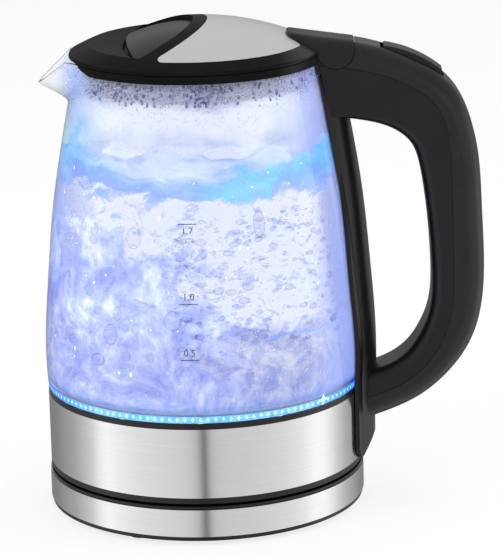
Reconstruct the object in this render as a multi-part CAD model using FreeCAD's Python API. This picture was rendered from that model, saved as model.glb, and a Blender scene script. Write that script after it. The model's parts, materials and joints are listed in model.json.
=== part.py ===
import FreeCAD, Part
import math
import os

# Cordless glass kettle, in millimetres. The origin is the base's axis on the standing plane,
# +Z is up, +X points to the handle and -X to the spout.

V = FreeCAD.Vector
Y_AXIS = V(0, 1, 0)
Z_AXIS = V(0, 0, 1)
ORIGIN = V(0, 0, 0)

# Power base
BASE_R = 80.0
FOOT_R = 6.0
FOOT_H = 2.1
FOOT_RECESS = 0.8
FOOT_INSET = 10.3
FOOT_COUNT = 4
FOOT_START_DEG = 63.0
BASE_PLATE_T = 2.2
BASE_BAND_H = 13.9
BASE_BAND_PROUD = 0.6
BAND_T = 0.8
BASE_COVER_T = 1.6
BASE_RIM_T = 2.0
BASE_RIM_H = 3.0
BASE_SCREW_CIRCLE_R = 52.0
BASE_SCREW_COUNT = 3
BASE_BOSS_R = 4.0

# Cordless connector
POST_R = 17.0
POST_H = 15.0
POST_FLANGE_R = 24.0
POST_FLANGE_T = 1.6
POST_SEAT_R = 12.0
POST_GROOVE_DEPTH = 9.0
POST_CENTRE_R = 2.6
GROOVE_RADII = ((5.8, 8.8), (11.2, 14.2))
CONTACT_T = 0.7
COUPLER_WALL = 3.6
COUPLER_ROOF_T = 2.4
BLADE_T = 0.6
CENTRE_PIN_R = 2.0

# Cord gland in the back of the base
GLAND_R = 5.5
GLAND_BORE_R = 3.6
GLAND_L = 14.0
GLAND_DEG = 90.0

# Jug foot
STAND_GAP = 1.5
JUG_R = 80.0
JUG_RING_H = 2.9
SKIRT_H = 35.3
SKIRT_T = 0.8
SEAT_RING_H = 2.7
SEAT_RING_W = 12.0
SEAT_POST_INSET = 8.5
SEAT_POST_R = 3.4
SEAT_POST_COUNT = 3
SEAT_POST_START_DEG = 30.0
BOTTOM_RIM_T = 1.6
BOTTOM_RIM_H = 6.0
HEATER_T = 1.0
HEATER_RIM_H = 4.4
SEAL_T = 1.8
SEAL_H = 3.2
ELEMENT_CIRCLE_R = 48.0
ELEMENT_TUBE_R = 4.0
ELEMENT_SWEEP_DEG = 310.0
ELEMENT_TAIL_R = 2.4
ELEMENT_TAIL_L = 9.0
CONTROL_R = 31.0
CONTROL_H = 26.0
CONTROL_NECK_R = 14.0
LIGHT_COUNT = 12
LIGHT_R = 1.4
LIGHT_BOARD_W = 3.6
LIGHT_BOARD_T = 1.0

# Glass body: heights are above its seat, and shares run from the rim's radius to the foot's
GLASS_H = 168.8
GLASS_WALL = 2.5
GLASS_FOOT_INSET = 0.2
GLASS_BELLY_H = 13.0
GLASS_BELLY_PROUD = 0.5
GLASS_WAIST_H = 55.0
GLASS_WAIST_SHARE = 0.91
GLASS_SHOULDER_H = 93.0
GLASS_SHOULDER_SHARE = 0.705
GLASS_NECK_H = 127.0
GLASS_NECK_SHARE = 0.41
GLASS_RIM_R = 59.8

# Spout: a beak that grows out of the neck and is cut by a sloping lip
SPOUT_TIP_INSET = 1.3
SPOUT_TIP_R = 6.0
SPOUT_TIP_DROP = 13.0
SPOUT_THROAT_DROP = 24.0
SPOUT_TURN_DROP = 9.0
SPOUT_LIP_RUN = 15.0
SPOUT_BLEND = 1.0
SPOUT_SIDE_SHARE = 0.98
SPOUT_SECTION_COUNT = 8

# Collar
COLLAR_OVERHANG = 3.2
COLLAR_H = 3.9
COLLAR_STEP = 0.2
COLLAR_END_DEG = 21.0
COLLAR_SWEEP_DEG = 15.0
SADDLE_T = 2.0
SADDLE_DROP = 6.0

# Lid
LID_EDGE_H = 1.4
LID_RISE = 15.4
LID_EDGE_ROUND = 1.1
LID_WALL = 2.6
LID_RIM_W = 10.0
LID_HOLLOW_H = 0.8
LID_CUP_GAP = 1.9
LID_CUP_H = 15.4
LID_CUP_T = 2.0
LID_SEAL_GAP = 0.6
LID_SEAL_H = 2.6
LID_SEAL_DROP = 1.8
LID_SCREW_INSET = 11.4
LID_SCREW_COUNT = 3
LID_SCREW_START_DEG = 60.0
LID_BOSS_R = 4.5
PLATE_MARGIN = 7.9
PLATE_T = 0.8
ARCH_CENTRE_OFFSET = 5.6
PLATE_ARC_R = 63.9
CREASE_R = 56.8
PLATE_NOTCH_DEPTH = 9.6
PLATE_NOTCH_R = 20.8
PLATE_CORNER_R = 3.0
GRIP_FRONT_X = -34.0
GRIP_FRONT_R = 128.0
GRIP_HALF_W = 45.0
GRIP_T = 2.2
GRIP_CURVE_R = 90.0
GRIP_DROP = 2.6
GRIP_SLOT_W = 2.0
SCOOP_MARGIN = 9.8
SCOOP_FLOOR_R = 409.0
SCOOP_DEPTH = 14.4
NOSE_GROOVE_W = 0.8
NOSE_GROOVE_DEPTH = 0.6
NOSE_GROOVE_APART = 5.0

# Lid hinge
HINGE_OFFSET = 10.0
HINGE_RISE = 1.9
BARREL_R = 9.5
PIN_R = 1.5
PIN_HALF_L = 12.0
TONGUE_HALF_W = 14.3
TONGUE_LAP = 7.5
TONGUE_ROUND = 8.0
TONGUE_END_RISE = 3.5
LUG_HALF_W = 4.8
LUG_R = 3.2

# Handle: outlines are offsets out from the jug's radius and shares of the height from skirt to lid
HANDLE_HALF_W = 14.5
HANDLE_WALL = 3.0
HANDLE_OUTER_ROUND = 8.0
HANDLE_INNER_ROUND = 5.0
SEAM_GROOVE_W = 0.5
SEAM_GROOVE_DEPTH = 0.5
HANDLE_SEAM_SHARES = (0.68, 0.67, 0.67, 0.66, 0.56, 0.45, 0.42, 0.45, 0.49, 0.5, 0.5, 0.5)
SEAM_START_RISE = 2.0
HANDLE_OUTER_OFFSETS = (-1.4, 14.0, 30.2, 43.7, 57.4, 62.1, 62.9, 55.4, 44.2, 30.2, 13.8, 0.0)
HANDLE_OUTER_SHARES = (1.0236, 1.005, 0.972, 0.932, 0.814, 0.600, 0.455, 0.272, 0.196, 0.139, 0.101, 0.079)
HANDLE_INNER_OFFSETS = (-14.0, 9.0, 20.2, 26.7, 30.9, 34.5, 36.4, 34.7, 30.1, 23.0, 14.0, 0.0)
HANDLE_INNER_SHARES = (0.847, 0.827, 0.8045, 0.775, 0.716, 0.597, 0.455, 0.354, 0.299, 0.252, 0.222, 0.202)
HOLLOW_SKIP_COUNT = 1
HOLLOW_END_COUNT = 2

# Spine strip between handle and jug
FLANGE_T = 2.0
FLANGE_HALF_W = 25.0
FLANGE_CORNER_R = 8.0
FLANGE_FOOT_RISE = 2.5
FLANGE_TAPER_WIDTHS = (25.0, 22.0, 15.5, 9.5, 8.5)
FLANGE_TAPER_DROPS = (120.8, 88.8, 50.8, 23.8, 10.8)
RIB_PROUD_LOW = 7.2
RIB_PROUD_TOP = 11.0
RIB_R_LOW = 26.0
RIB_R_TOP = 13.0
RIB_TOP_DROP = 11.0
RIB_CHAMFER_H = 11.5
RIB_CHAMFER_D = 6.6
CABLE_T = 1.8
CABLE_HALF_W = 2.6
CABLE_DEPTH = 3.3
CABLE_TOP_DROP = 34.0
HANDLE_SCREW_SHARES = (0.135, 0.92)

# Rocker switch and steam switch: along and across the handle's top
ROCKER_X = 13.8
ROCKER_SHARE = 1.008
ROCKER_TILT_DEG = 27.7
ROCKER_L = 32.0
ROCKER_HALF_W = 7.2
ROCKER_FRONT_H = 0.7
ROCKER_REAR_H = 2.2
ROCKER_CROWN_H = 3.6
ROCKER_DEPTH = 8.0
ROCKER_ROUND = 1.4
ROCKER_PIVOT_DEPTH = 5.5
ROCKER_PIVOT_R = 1.5
ROCKER_END_GAP = 1.5
ROCKER_SIDE_GAP = 0.4
ROCKER_DIP = 3.0
LEVER_L = 7.0
LEVER_T = 2.0
LEVER_HALF_W = 3.0
FRAME_T = 1.5
FRAME_DEPTH = 18.0
FRAME_L = 16.0
DISC_R = 6.0
DISC_T = 0.4
STEAM_TUBE_R = 3.2
STEAM_TUBE_BORE_R = 2.4
STEAM_TUBE_L = 10.0

# Screws
SCREW_R = 1.5
SCREW_HEAD_R = 3.0
SCREW_HEAD_H = 1.6
SCREW_SINK = 0.4
SCREW_SLOT_L = 3.6
SCREW_SLOT_W = 0.8
SCREW_SLOT_DEPTH = 0.9
BASE_SCREW_L = 11.0
FOOT_SCREW_L = 18.0
HANDLE_SCREW_L = 14.0
LID_SCREW_BITE = 3.5

# Clearances
BOND_GAP = 0.2
SEAT_GAP = 0.1
RUN_GAP = 0.06
BODY_GAP = 0.3
LID_GAP = 0.4
SLIDE_GAP = 0.4
FLANGE_GAP = 0.3
SLOT_GAP = 0.3
OVERCUT = 1.0
LID_OPEN_DEG = 80.0

# Levels, worked out from the standing plane up
base_plate_z = FOOT_H
base_band_z = base_plate_z + BASE_PLATE_T
base_cover_z = base_band_z + BASE_BAND_H
base_top_z = base_cover_z + BASE_COVER_T
jug_z = base_top_z + STAND_GAP
skirt_z = jug_z + JUG_RING_H
seat_ring_z = skirt_z + SKIRT_H
seat_z = seat_ring_z + SEAT_RING_H
rim_z = seat_z + GLASS_H
collar_top_z = rim_z + COLLAR_STEP
collar_z = collar_top_z - COLLAR_H
lid_z = collar_top_z + LID_GAP
lid_top_z = lid_z + LID_EDGE_H + LID_RISE
hinge_z = lid_z + HINGE_RISE
post_top_z = base_top_z + POST_H
coupler_roof_z = post_top_z + BODY_GAP
coupler_top_z = coupler_roof_z + COUPLER_ROOF_T
coupler_in_r = POST_R + SLIDE_GAP
coupler_r = coupler_in_r + COUPLER_WALL
glass_foot_r = JUG_R - GLASS_FOOT_INSET
heater_r = glass_foot_r - GLASS_WALL - SEAL_T - BOND_GAP - SEAT_GAP
mouth_r = GLASS_RIM_R - GLASS_WALL
spout_reach = JUG_R - SPOUT_TIP_INSET
collar_r = GLASS_RIM_R + COLLAR_OVERHANG
lid_r = collar_r
lid_hollow_r = lid_r - LID_RIM_W
lid_cup_r = mouth_r - LID_CUP_GAP
lid_seal_r = mouth_r - LID_SEAL_GAP
plate_r = lid_r - PLATE_MARGIN
plate_notch_x = plate_r - PLATE_NOTCH_DEPTH
scoop_r = lid_r - SCOOP_MARGIN
arch_x = ARCH_CENTRE_OFFSET - lid_r
crease_x = arch_x + CREASE_R
hinge_x = GLASS_RIM_R + HINGE_OFFSET
tongue_start_x = plate_notch_x - TONGUE_LAP
dome_r = (lid_r ** 2 + LID_RISE ** 2) / (2 * LID_RISE)


def cylinder(radius, low, high, x=0.0, y=0.0):
    return Part.makeCylinder(radius, high - low, V(x, y, low))


def ring(outer, inner, low, high):
    return cylinder(outer, low, high).cut(cylinder(inner, low, high))


def box(low, high):
    size = [b - a for a, b in zip(low, high)]
    return Part.makeBox(size[0], size[1], size[2], V(*low))


def bar(radius, x, z, half):
    return Part.makeCylinder(radius, 2 * half, V(x, -half, z), Y_AXIS)


def polar(radius, degrees):
    angle = math.radians(degrees)
    return radius * math.cos(angle), radius * math.sin(angle)


def circle_places(radius, count, start):
    return [polar(radius, start + 360.0 * i / count) for i in range(count)]


def line(a, b):
    return Part.LineSegment(a, b).toShape()


def arc(a, middle, b):
    return Part.Arc(a, middle, b).toShape()


def spline(points):
    curve = Part.BSplineCurve()
    curve.interpolate(points)
    return curve


def polygon(points):
    return [line(a, b) for a, b in zip(points, points[1:] + points[:1])]


def prism_y(edges, half):
    """A solid from a closed outline in the XZ plane, as wide on both sides of it."""
    face = Part.Face(Part.Wire(edges))
    face.translate(V(0, -half, 0))
    return face.extrude(V(0, 2 * half, 0))


def screw(length):
    """A cross slotted pan head screw standing on its head, with its tip up."""
    head = cylinder(SCREW_HEAD_R, 0, SCREW_HEAD_H)
    body = head.fuse(cylinder(SCREW_R, 0, length)).removeSplitter()
    half_l, half_w = SCREW_SLOT_L / 2, SCREW_SLOT_W / 2
    body = body.cut(box((-half_l, -half_w, 0), (half_l, half_w, SCREW_SLOT_DEPTH)))
    return body.cut(box((-half_w, -half_l, 0), (half_w, half_l, SCREW_SLOT_DEPTH)))


def screw_hole(length):
    """The room that a sunk screw takes, from below its head to its tip."""
    head = cylinder(SCREW_HEAD_R + SEAT_GAP, -SCREW_SINK, SCREW_HEAD_H + SEAT_GAP)
    return head.fuse(cylinder(SCREW_R + SEAT_GAP, 0, length + SEAT_GAP))


def placed(shape, x, y, z):
    copy = shape.copy()
    copy.translate(V(x, y, z))
    return copy


def export(name, shape):
    solids = shape.Solids
    whole = solids[0] if len(solids) == 1 else Part.makeCompound(solids)
    print(name, len(solids), whole.isValid(), round(whole.Volume / 1000.0, 2), "cm3")
    whole.exportStep("parts/%s.step" % name)


# Glass body

def between_rim_and_foot(share):
    return GLASS_RIM_R + (glass_foot_r - GLASS_RIM_R) * share


def glass_points(grow):
    profile = (
        (0.0, glass_foot_r), (GLASS_BELLY_H, JUG_R + GLASS_BELLY_PROUD),
        (GLASS_WAIST_H, between_rim_and_foot(GLASS_WAIST_SHARE)),
        (GLASS_SHOULDER_H, between_rim_and_foot(GLASS_SHOULDER_SHARE)),
        (GLASS_NECK_H, between_rim_and_foot(GLASS_NECK_SHARE)), (GLASS_H, GLASS_RIM_R),
    )
    return [V(radius + grow, 0, seat_z + height) for height, radius in profile]


glass_curve = spline(glass_points(0.0))


def glass_radius(z):
    """The glass's outer radius at a height, found by halving the curve's span."""
    low, high = glass_curve.FirstParameter, glass_curve.LastParameter
    for _ in range(50):
        middle = (low + high) / 2
        if glass_curve.value(middle).z < z:
            low = middle
        else:
            high = middle
    return glass_curve.value(low).x


def jug_radius(z):
    return JUG_R if z < seat_z else glass_radius(z)


def glass_body(grow):
    """The glass's round form as a full solid, grown by a distance all round."""
    curve = spline(glass_points(grow))
    start, end = curve.StartPoint, curve.EndPoint
    foot, top = V(0, 0, start.z), V(0, 0, end.z)
    edges = [line(foot, start), curve.toShape(), line(end, top), line(top, foot)]
    return Part.Face(Part.Wire(edges)).revolve(ORIGIN, Z_AXIS, 360)


def jug_body(grow):
    """The outside of skirt and glass together, for the pieces that lie against them."""
    return glass_body(grow).fuse(cylinder(JUG_R + grow, jug_z, seat_z)).removeSplitter()


def spout_section(z, reach, grow):
    """The beak's outline at a height: a round tip and two lines that meet the neck almost tangent."""
    body = glass_radius(min(z, rim_z)) + grow - SPOUT_BLEND
    tip = SPOUT_TIP_R + grow
    centre = reach - SPOUT_TIP_R
    cosine = min(SPOUT_SIDE_SHARE, (body - tip) / centre)
    sine = math.sqrt(1 - cosine ** 2)
    tip_left, tip_right = V(-centre - tip * cosine, tip * sine, z), V(-centre - tip * cosine, -tip * sine, z)
    body_left, body_right = V(-body * cosine, body * sine, z), V(-body * cosine, -body * sine, z)
    nose = V(-centre - tip, 0, z)
    edges = [arc(tip_left, nose, tip_right), line(tip_right, body_right)]
    edges += [line(body_right, body_left), line(body_left, tip_left)]
    return Part.Wire(edges)


def spout_reach_at(z):
    """How far the beak reaches at a height: a soft S from the throat to the wall above the tip."""
    throat_z, tip_z, turn_z = rim_z - SPOUT_THROAT_DROP, rim_z - SPOUT_TIP_DROP, rim_z - SPOUT_TURN_DROP
    start = glass_radius(throat_z) - SPOUT_BLEND / 2
    full = start + (spout_reach - start) / soft_step((tip_z - throat_z) / (turn_z - throat_z))
    return start + (full - start) * soft_step((z - throat_z) / (turn_z - throat_z))


def soft_step(share):
    share = min(share, 1.0)
    return share * share * (3 - 2 * share)


def spout_body(grow):
    """The beak as a full solid that swells smoothly out of the neck."""
    throat_z = rim_z - SPOUT_THROAT_DROP
    heights = [throat_z + SPOUT_THROAT_DROP * i / SPOUT_SECTION_COUNT for i in range(SPOUT_SECTION_COUNT + 1)]
    return Part.makeLoft([spout_section(z, spout_reach_at(z), grow) for z in heights], True, False)


def glass_jug():
    outside = glass_body(0.0).fuse(spout_body(0.0))
    inside = glass_body(-GLASS_WALL).fuse(spout_body(-GLASS_WALL))
    tip_z, far = rim_z - SPOUT_TIP_DROP, spout_reach + 2 * SPOUT_TIP_R
    slope = SPOUT_TIP_DROP / SPOUT_LIP_RUN
    lip_x = -spout_reach + SPOUT_LIP_RUN
    above = rim_z + SPOUT_TIP_DROP
    outline = [V(lip_x, 0, rim_z), V(lip_x, 0, above), V(-far, 0, above)]
    outline.append(V(-far, 0, tip_z - slope * (far - spout_reach)))
    lip = prism_y(polygon(outline), GLASS_RIM_R)
    return outside.cut(inside).cut(lip).removeSplitter()


# Power base

def base_pieces():
    plate_in_r = BASE_R + BASE_BAND_PROUD - BAND_T - SEAT_GAP
    feet_places = circle_places(BASE_R - FOOT_INSET, FOOT_COUNT, FOOT_START_DEG)
    screw_places = circle_places(BASE_SCREW_CIRCLE_R, BASE_SCREW_COUNT, FOOT_START_DEG)
    gland_z = (base_band_z + base_cover_z) / 2
    gland = gland_bar(GLAND_R, gland_z)
    gland_room = gland_bar(GLAND_R + SEAT_GAP, gland_z)

    feet = [cylinder(FOOT_R, 0, FOOT_H + FOOT_RECESS, x, y) for x, y in feet_places]
    plate = cylinder(BASE_R, base_plate_z, base_band_z)
    plate = plate.fuse(ring(plate_in_r, plate_in_r - BASE_RIM_T, base_band_z, base_band_z + BASE_RIM_H))
    for x, y in feet_places:
        plate = plate.cut(cylinder(FOOT_R + SEAT_GAP, base_plate_z, FOOT_H + FOOT_RECESS, x, y))
    hole = screw_hole(BASE_SCREW_L)
    screws = []
    cover_rim_r = plate_in_r - BASE_RIM_T - SEAT_GAP
    cover = cylinder(BASE_R, base_cover_z, base_top_z)
    cover_rim_z = base_band_z + BASE_RIM_H + SEAT_GAP
    cover = cover.fuse(ring(plate_in_r, cover_rim_r - BASE_RIM_T, cover_rim_z, base_cover_z))
    for x, y in screw_places:
        cover = cover.fuse(cylinder(BASE_BOSS_R, base_band_z + SEAT_GAP, base_cover_z, x, y))
    cover = cover.cut(cylinder(POST_R + BODY_GAP, base_cover_z, base_top_z))
    head_z = base_plate_z + SCREW_SINK
    for x, y in screw_places:
        screws.append(placed(screw(BASE_SCREW_L), x, y, head_z))
        plate = plate.cut(placed(hole, x, y, head_z))
        cover = cover.cut(placed(hole, x, y, head_z))
    band_r = BASE_R + BASE_BAND_PROUD
    band = ring(band_r, band_r - BAND_T, base_band_z, base_cover_z)
    export("base_feet", Part.makeCompound(feet))
    export("base_bottom_plate", plate.cut(gland_room).removeSplitter())
    export("base_steel_band", band.cut(gland_room))
    export("base_top_cover", cover.cut(gland_room).removeSplitter())
    export("base_screws", Part.makeCompound(screws))
    export("cord_gland", gland.cut(gland_bar(GLAND_BORE_R, gland_z)))


def gland_bar(radius, z):
    """A bar along the cord's way in, from just outside the band inwards."""
    outer = BASE_R + BASE_BAND_PROUD + BODY_GAP
    x, y = polar(outer - GLAND_L, GLAND_DEG)
    dx, dy = polar(1.0, GLAND_DEG)
    return Part.makeCylinder(radius, GLAND_L, V(x, y, z), V(dx, dy, 0))


def connector_pieces():
    flange_z = base_cover_z - POST_FLANGE_T - SEAT_GAP
    groove_z = post_top_z - POST_GROOVE_DEPTH
    post = cylinder(POST_R, flange_z, post_top_z)
    post = post.fuse(cylinder(POST_FLANGE_R, flange_z, flange_z + POST_FLANGE_T))
    post = post.fuse(cylinder(POST_SEAT_R, base_band_z, flange_z)).removeSplitter()
    post = post.cut(cylinder(POST_CENTRE_R, groove_z, post_top_z))
    contacts, blades = [], []
    for inner, outer in GROOVE_RADII:
        post = post.cut(ring(outer, inner, groove_z, post_top_z))
        contact_in = inner + SEAT_GAP
        contacts.append(ring(contact_in + CONTACT_T, contact_in, groove_z, post_top_z - SCREW_SINK))
        blade_in = (contact_in + CONTACT_T + outer - BLADE_T) / 2
        blades.append(ring(blade_in + BLADE_T, blade_in, groove_z + STAND_GAP, coupler_roof_z))
    blades.append(cylinder(CENTRE_PIN_R, groove_z + STAND_GAP, coupler_roof_z))
    coupler = cylinder(coupler_r, jug_z, coupler_top_z).cut(cylinder(coupler_in_r, jug_z, coupler_roof_z))
    export("base_connector", post)
    export("base_contacts", Part.makeCompound(contacts))
    export("jug_coupler", coupler)
    export("jug_contacts", Part.makeCompound(blades))


# Jug foot

def jug_foot_pieces():
    skirt = ring(JUG_R, JUG_R - SKIRT_T, skirt_z, seat_ring_z)
    rim_out = JUG_R - SKIRT_T - SEAT_GAP
    bottom = cylinder(JUG_R, jug_z, skirt_z)
    bottom = bottom.fuse(ring(rim_out, rim_out - BOTTOM_RIM_T, skirt_z, skirt_z + BOTTOM_RIM_H))
    bottom = bottom.cut(cylinder(coupler_r + BODY_GAP, jug_z, skirt_z))
    seat = ring(glass_foot_r, JUG_R - SEAT_RING_W, seat_ring_z, seat_z)
    places = circle_places(JUG_R - SEAT_POST_INSET, SEAT_POST_COUNT, SEAT_POST_START_DEG)
    for x, y in places:
        seat = seat.fuse(cylinder(SEAT_POST_R, skirt_z, seat_ring_z, x, y))
    hole = screw_hole(FOOT_SCREW_L)
    screws = []
    for x, y in places:
        screws.append(placed(screw(FOOT_SCREW_L), x, y, jug_z + SCREW_SINK))
        bottom = bottom.cut(placed(hole, x, y, jug_z + SCREW_SINK))
        seat = seat.cut(placed(hole, x, y, jug_z + SCREW_SINK))
    board_out = JUG_R - SKIRT_T - BODY_GAP
    light_circle = board_out - LIGHT_BOARD_W / 2
    light_z = seat_ring_z - LIGHT_BOARD_T
    board = ring(board_out, board_out - LIGHT_BOARD_W, light_z, seat_ring_z)
    lights = []
    for x, y in circle_places(light_circle, LIGHT_COUNT, 0.0):
        lights.append(cylinder(LIGHT_R, seat_ring_z, seat_z - SEAT_GAP, x, y))
        seat = seat.cut(cylinder(LIGHT_R + SEAT_GAP, seat_ring_z, seat_z, x, y))
    heater = cylinder(heater_r, seat_z, seat_z + HEATER_T)
    heater = heater.fuse(ring(heater_r, heater_r - HEATER_T, seat_z, seat_z + HEATER_T + HEATER_RIM_H))
    seal_in = heater_r + SEAT_GAP
    seal = ring(seal_in + SEAL_T, seal_in, seat_z + SEAT_GAP, seat_z + SEAT_GAP + SEAL_H)
    element_z = seat_z - SEAT_GAP - ELEMENT_TUBE_R
    export("jug_skirt", skirt)
    export("jug_bottom_cover", bottom.removeSplitter())
    export("glass_seat_ring", seat.removeSplitter())
    export("foot_screws", Part.makeCompound(screws))
    export("light_board", board)
    export("lights", Part.makeCompound(lights))
    export("heater_plate", heater.removeSplitter())
    export("glass_seal", seal)
    export("heating_element", heating_element(element_z))
    control_z = skirt_z + SEAT_GAP
    control = cylinder(CONTROL_R, control_z, control_z + CONTROL_H)
    control = control.fuse(cylinder(CONTROL_NECK_R, control_z + CONTROL_H, seat_z - SEAT_GAP))
    control = control.cut(cylinder(coupler_r + RUN_GAP, control_z, coupler_top_z + BODY_GAP))
    export("control_housing", control.removeSplitter())


def heating_element(z):
    """An open ring of tube with a tail down at each end."""
    face = Part.Face(Part.Wire(Part.Circle(V(ELEMENT_CIRCLE_R, 0, z), Y_AXIS, ELEMENT_TUBE_R).toShape()))
    tube = face.revolve(ORIGIN, Z_AXIS, ELEMENT_SWEEP_DEG)
    inset = math.degrees(ELEMENT_TAIL_R / ELEMENT_CIRCLE_R)
    for degrees in (inset, ELEMENT_SWEEP_DEG - inset):
        x, y = polar(ELEMENT_CIRCLE_R, degrees)
        tube = tube.fuse(cylinder(ELEMENT_TAIL_R, z - ELEMENT_TAIL_L, z, x, y))
    return tube.removeSplitter()


# Collar and lid

def collar():
    """The ring round the mouth: open at the spout, and thinned to a saddle behind the lid's barrel."""
    body = cylinder(collar_r, collar_z, collar_top_z)
    inside = cylinder(glass_radius(collar_z) + BOND_GAP, collar_z, collar_top_z)
    body = body.cut(inside).cut(spout_body(BOND_GAP))
    far = 2 * collar_r
    half = HANDLE_HALF_W + BODY_GAP
    body = body.cut(box((0, -half, collar_z), (far, half, collar_top_z)))
    ends = [polar(collar_r, COLLAR_END_DEG + COLLAR_SWEEP_DEG * share)[1] for share in (0.0, 0.5, 1.0)]
    middle_z = (collar_z + collar_top_z) / 2
    left = spline([V(0, ends[2], collar_z), V(0, ends[1], middle_z), V(0, ends[0], collar_top_z)])
    right = spline([V(0, -ends[0], collar_top_z), V(0, -ends[1], middle_z), V(0, -ends[2], collar_z)])
    edges = [left.toShape(), line(left.EndPoint, right.StartPoint)]
    edges += [right.toShape(), line(right.EndPoint, left.StartPoint)]
    gap = Part.Face(Part.Wire(edges)).extrude(V(-far, 0, 0))
    saddle = glass_body(BOND_GAP + SADDLE_T).cut(glass_body(BOND_GAP))
    lap = half + SADDLE_T
    saddle = saddle.common(box((0, -lap, collar_z - SADDLE_DROP), (far, lap, rim_z)))
    beside = box((0, -lap, 0), (far, lap, collar_z))
    beside = beside.cut(box((0, -HANDLE_HALF_W, 0), (far, HANDLE_HALF_W, collar_z)))
    saddle = saddle.cut(beside).cut(barrel_room())
    return body.cut(gap).fuse(saddle).removeSplitter()


def barrel_room():
    """The space that the lid's barrel turns in."""
    return bar(BARREL_R + BODY_GAP, hinge_x, hinge_z, 2 * HANDLE_HALF_W)


def dome(drop):
    """The lid's crowned form as a full solid from its lower edge, set in by a distance."""
    radius = dome_r - drop
    centre_z = lid_top_z - dome_r
    ball = Part.makeSphere(radius, V(0, 0, centre_z))
    return ball.common(cylinder(lid_r, lid_z, lid_top_z + OVERCUT))


def tongue():
    """The lid's arm to the hinge: a block to the barrel's middle and the barrel under its top line."""
    start_z = lid_top_z - dome_r + math.sqrt(dome_r ** 2 - tongue_start_x ** 2)
    end_z = hinge_z + TONGUE_END_RISE
    end_x = hinge_x + math.sqrt(BARREL_R ** 2 - TONGUE_END_RISE ** 2)
    slope = (end_z - start_z) / (end_x - tongue_start_x)
    low = hinge_z - BARREL_R
    far_x = hinge_x + BARREL_R + TONGUE_ROUND
    far_z = end_z + slope * (far_x - end_x)
    top = [V(tongue_start_x, 0, lid_z), V(tongue_start_x, 0, start_z), V(far_x, 0, far_z), V(far_x, 0, low)]
    outline = top + [V(hinge_x - BARREL_R, 0, low), V(hinge_x - BARREL_R, 0, lid_z)]
    block = prism_y(polygon(outline), TONGUE_HALF_W)
    top_edges = [e for e in block.Edges if is_side_edge(e, start_z, far_z)]
    block = block.makeFillet(TONGUE_ROUND, top_edges)
    reach = box((tongue_start_x, -lid_r, lid_z), (hinge_x, lid_r, lid_top_z))
    return block.common(reach.fuse(bar(BARREL_R, hinge_x, hinge_z, TONGUE_HALF_W))).removeSplitter()


def is_side_edge(edge, start_z, end_z):
    a, b = edge.Vertexes[0].Point, edge.Vertexes[-1].Point
    heights = sorted((a.z, b.z))
    wanted = sorted((start_z, end_z))
    return abs(heights[0] - wanted[0]) < 1e-6 and abs(heights[1] - wanted[1]) < 1e-6 and abs(a.y - b.y) < 1e-6


def lug_slot():
    """Room in the barrel for the handle's lug, over the lid's whole swing."""
    room = LUG_R + SLOT_GAP
    half = LUG_HALF_W + SLOT_GAP
    turn = math.radians(LID_OPEN_DEG - 90.0)
    reach = BARREL_R + 2 * SLOT_GAP
    far_x = reach * math.cos(turn) - room * math.sin(turn)
    far_z = reach * math.sin(turn) + room * math.cos(turn)
    near_x, near_z = -room * math.sin(turn), room * math.cos(turn)
    corners = [(-room, 0), (0, room), (near_x, near_z), (far_x, far_z)]
    corners += [(reach + room, -reach), (-room, -reach)]
    outline = [V(hinge_x + x, 0, hinge_z + z) for x, z in corners]
    return prism_y(polygon(outline), half).fuse(bar(room, hinge_x, hinge_z, half))


def plate_outline(grow):
    """The satin plate's plan as an upright prism, grown by a clearance."""
    low, high = lid_z, lid_top_z + OVERCUT
    plan = cylinder(plate_r + grow, low, high)
    plan = plan.cut(cylinder(PLATE_ARC_R - grow, low, high, arch_x))
    plan = plan.cut(cylinder(PLATE_NOTCH_R - grow, low, high, plate_notch_x + PLATE_NOTCH_R))
    upright = [e for e in plan.Edges if abs(e.Vertexes[0].Z - e.Vertexes[-1].Z) > LID_RISE / 2]
    corners = [e for e in upright if abs(e.Vertexes[0].Y) > PLATE_CORNER_R]
    return plan.makeFillet(PLATE_CORNER_R, corners)


def grip_barrel(drop):
    """The grip's doubly curved top as a solid turned about a level line under the crease."""
    radius = dome_r - drop
    top_z = lid_top_z - GRIP_DROP
    centre_z = top_z - dome_r
    axis_z = top_z - GRIP_CURVE_R
    half = lid_r - GRIP_T
    end_z = centre_z + math.sqrt(radius ** 2 - half ** 2)
    left, right = V(crease_x, -half, end_z), V(crease_x, half, end_z)
    foot_left, foot_right = V(crease_x, -half, axis_z), V(crease_x, half, axis_z)
    edges = [arc(left, V(crease_x, 0, centre_z + radius), right), line(right, foot_right)]
    edges += [line(foot_right, foot_left), line(foot_left, left)]
    return Part.Face(Part.Wire(edges)).revolve(foot_left, Y_AXIS, -90)


def crease_disc(grow):
    return cylinder(CREASE_R + grow, lid_z, lid_top_z + OVERCUT, arch_x)


def scoop():
    """The finger recess: all that is above a shallow bowl, in front of the crease."""
    bowl_z = lid_top_z - SCOOP_DEPTH
    bowl = Part.makeSphere(SCOOP_FLOOR_R, V(0, 0, bowl_z + SCOOP_FLOOR_R))
    return bowl.common(cylinder(scoop_r, lid_z, lid_top_z + OVERCUT)).common(crease_disc(0.0))


def grip_plan(grow):
    """The grip's plan as an upright prism, grown by a distance in front of its lip."""
    low, high = lid_z, lid_top_z + OVERCUT
    half = GRIP_HALF_W + grow
    front = cylinder(GRIP_FRONT_R + grow, low, high, GRIP_FRONT_X + GRIP_FRONT_R)
    return front.common(box((-lid_r, -half, low), (0, half, high)))


def grip_slot():
    """The gap along the grip's lip and under it, sunk into the recess's floor."""
    floor_z = lid_z + LID_WALL
    room = grip_plan(GRIP_SLOT_W).common(crease_disc(0.0)).common(cylinder(scoop_r, floor_z, lid_top_z))
    return room.cut(grip_barrel(GRIP_T + GRIP_SLOT_W))


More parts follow.
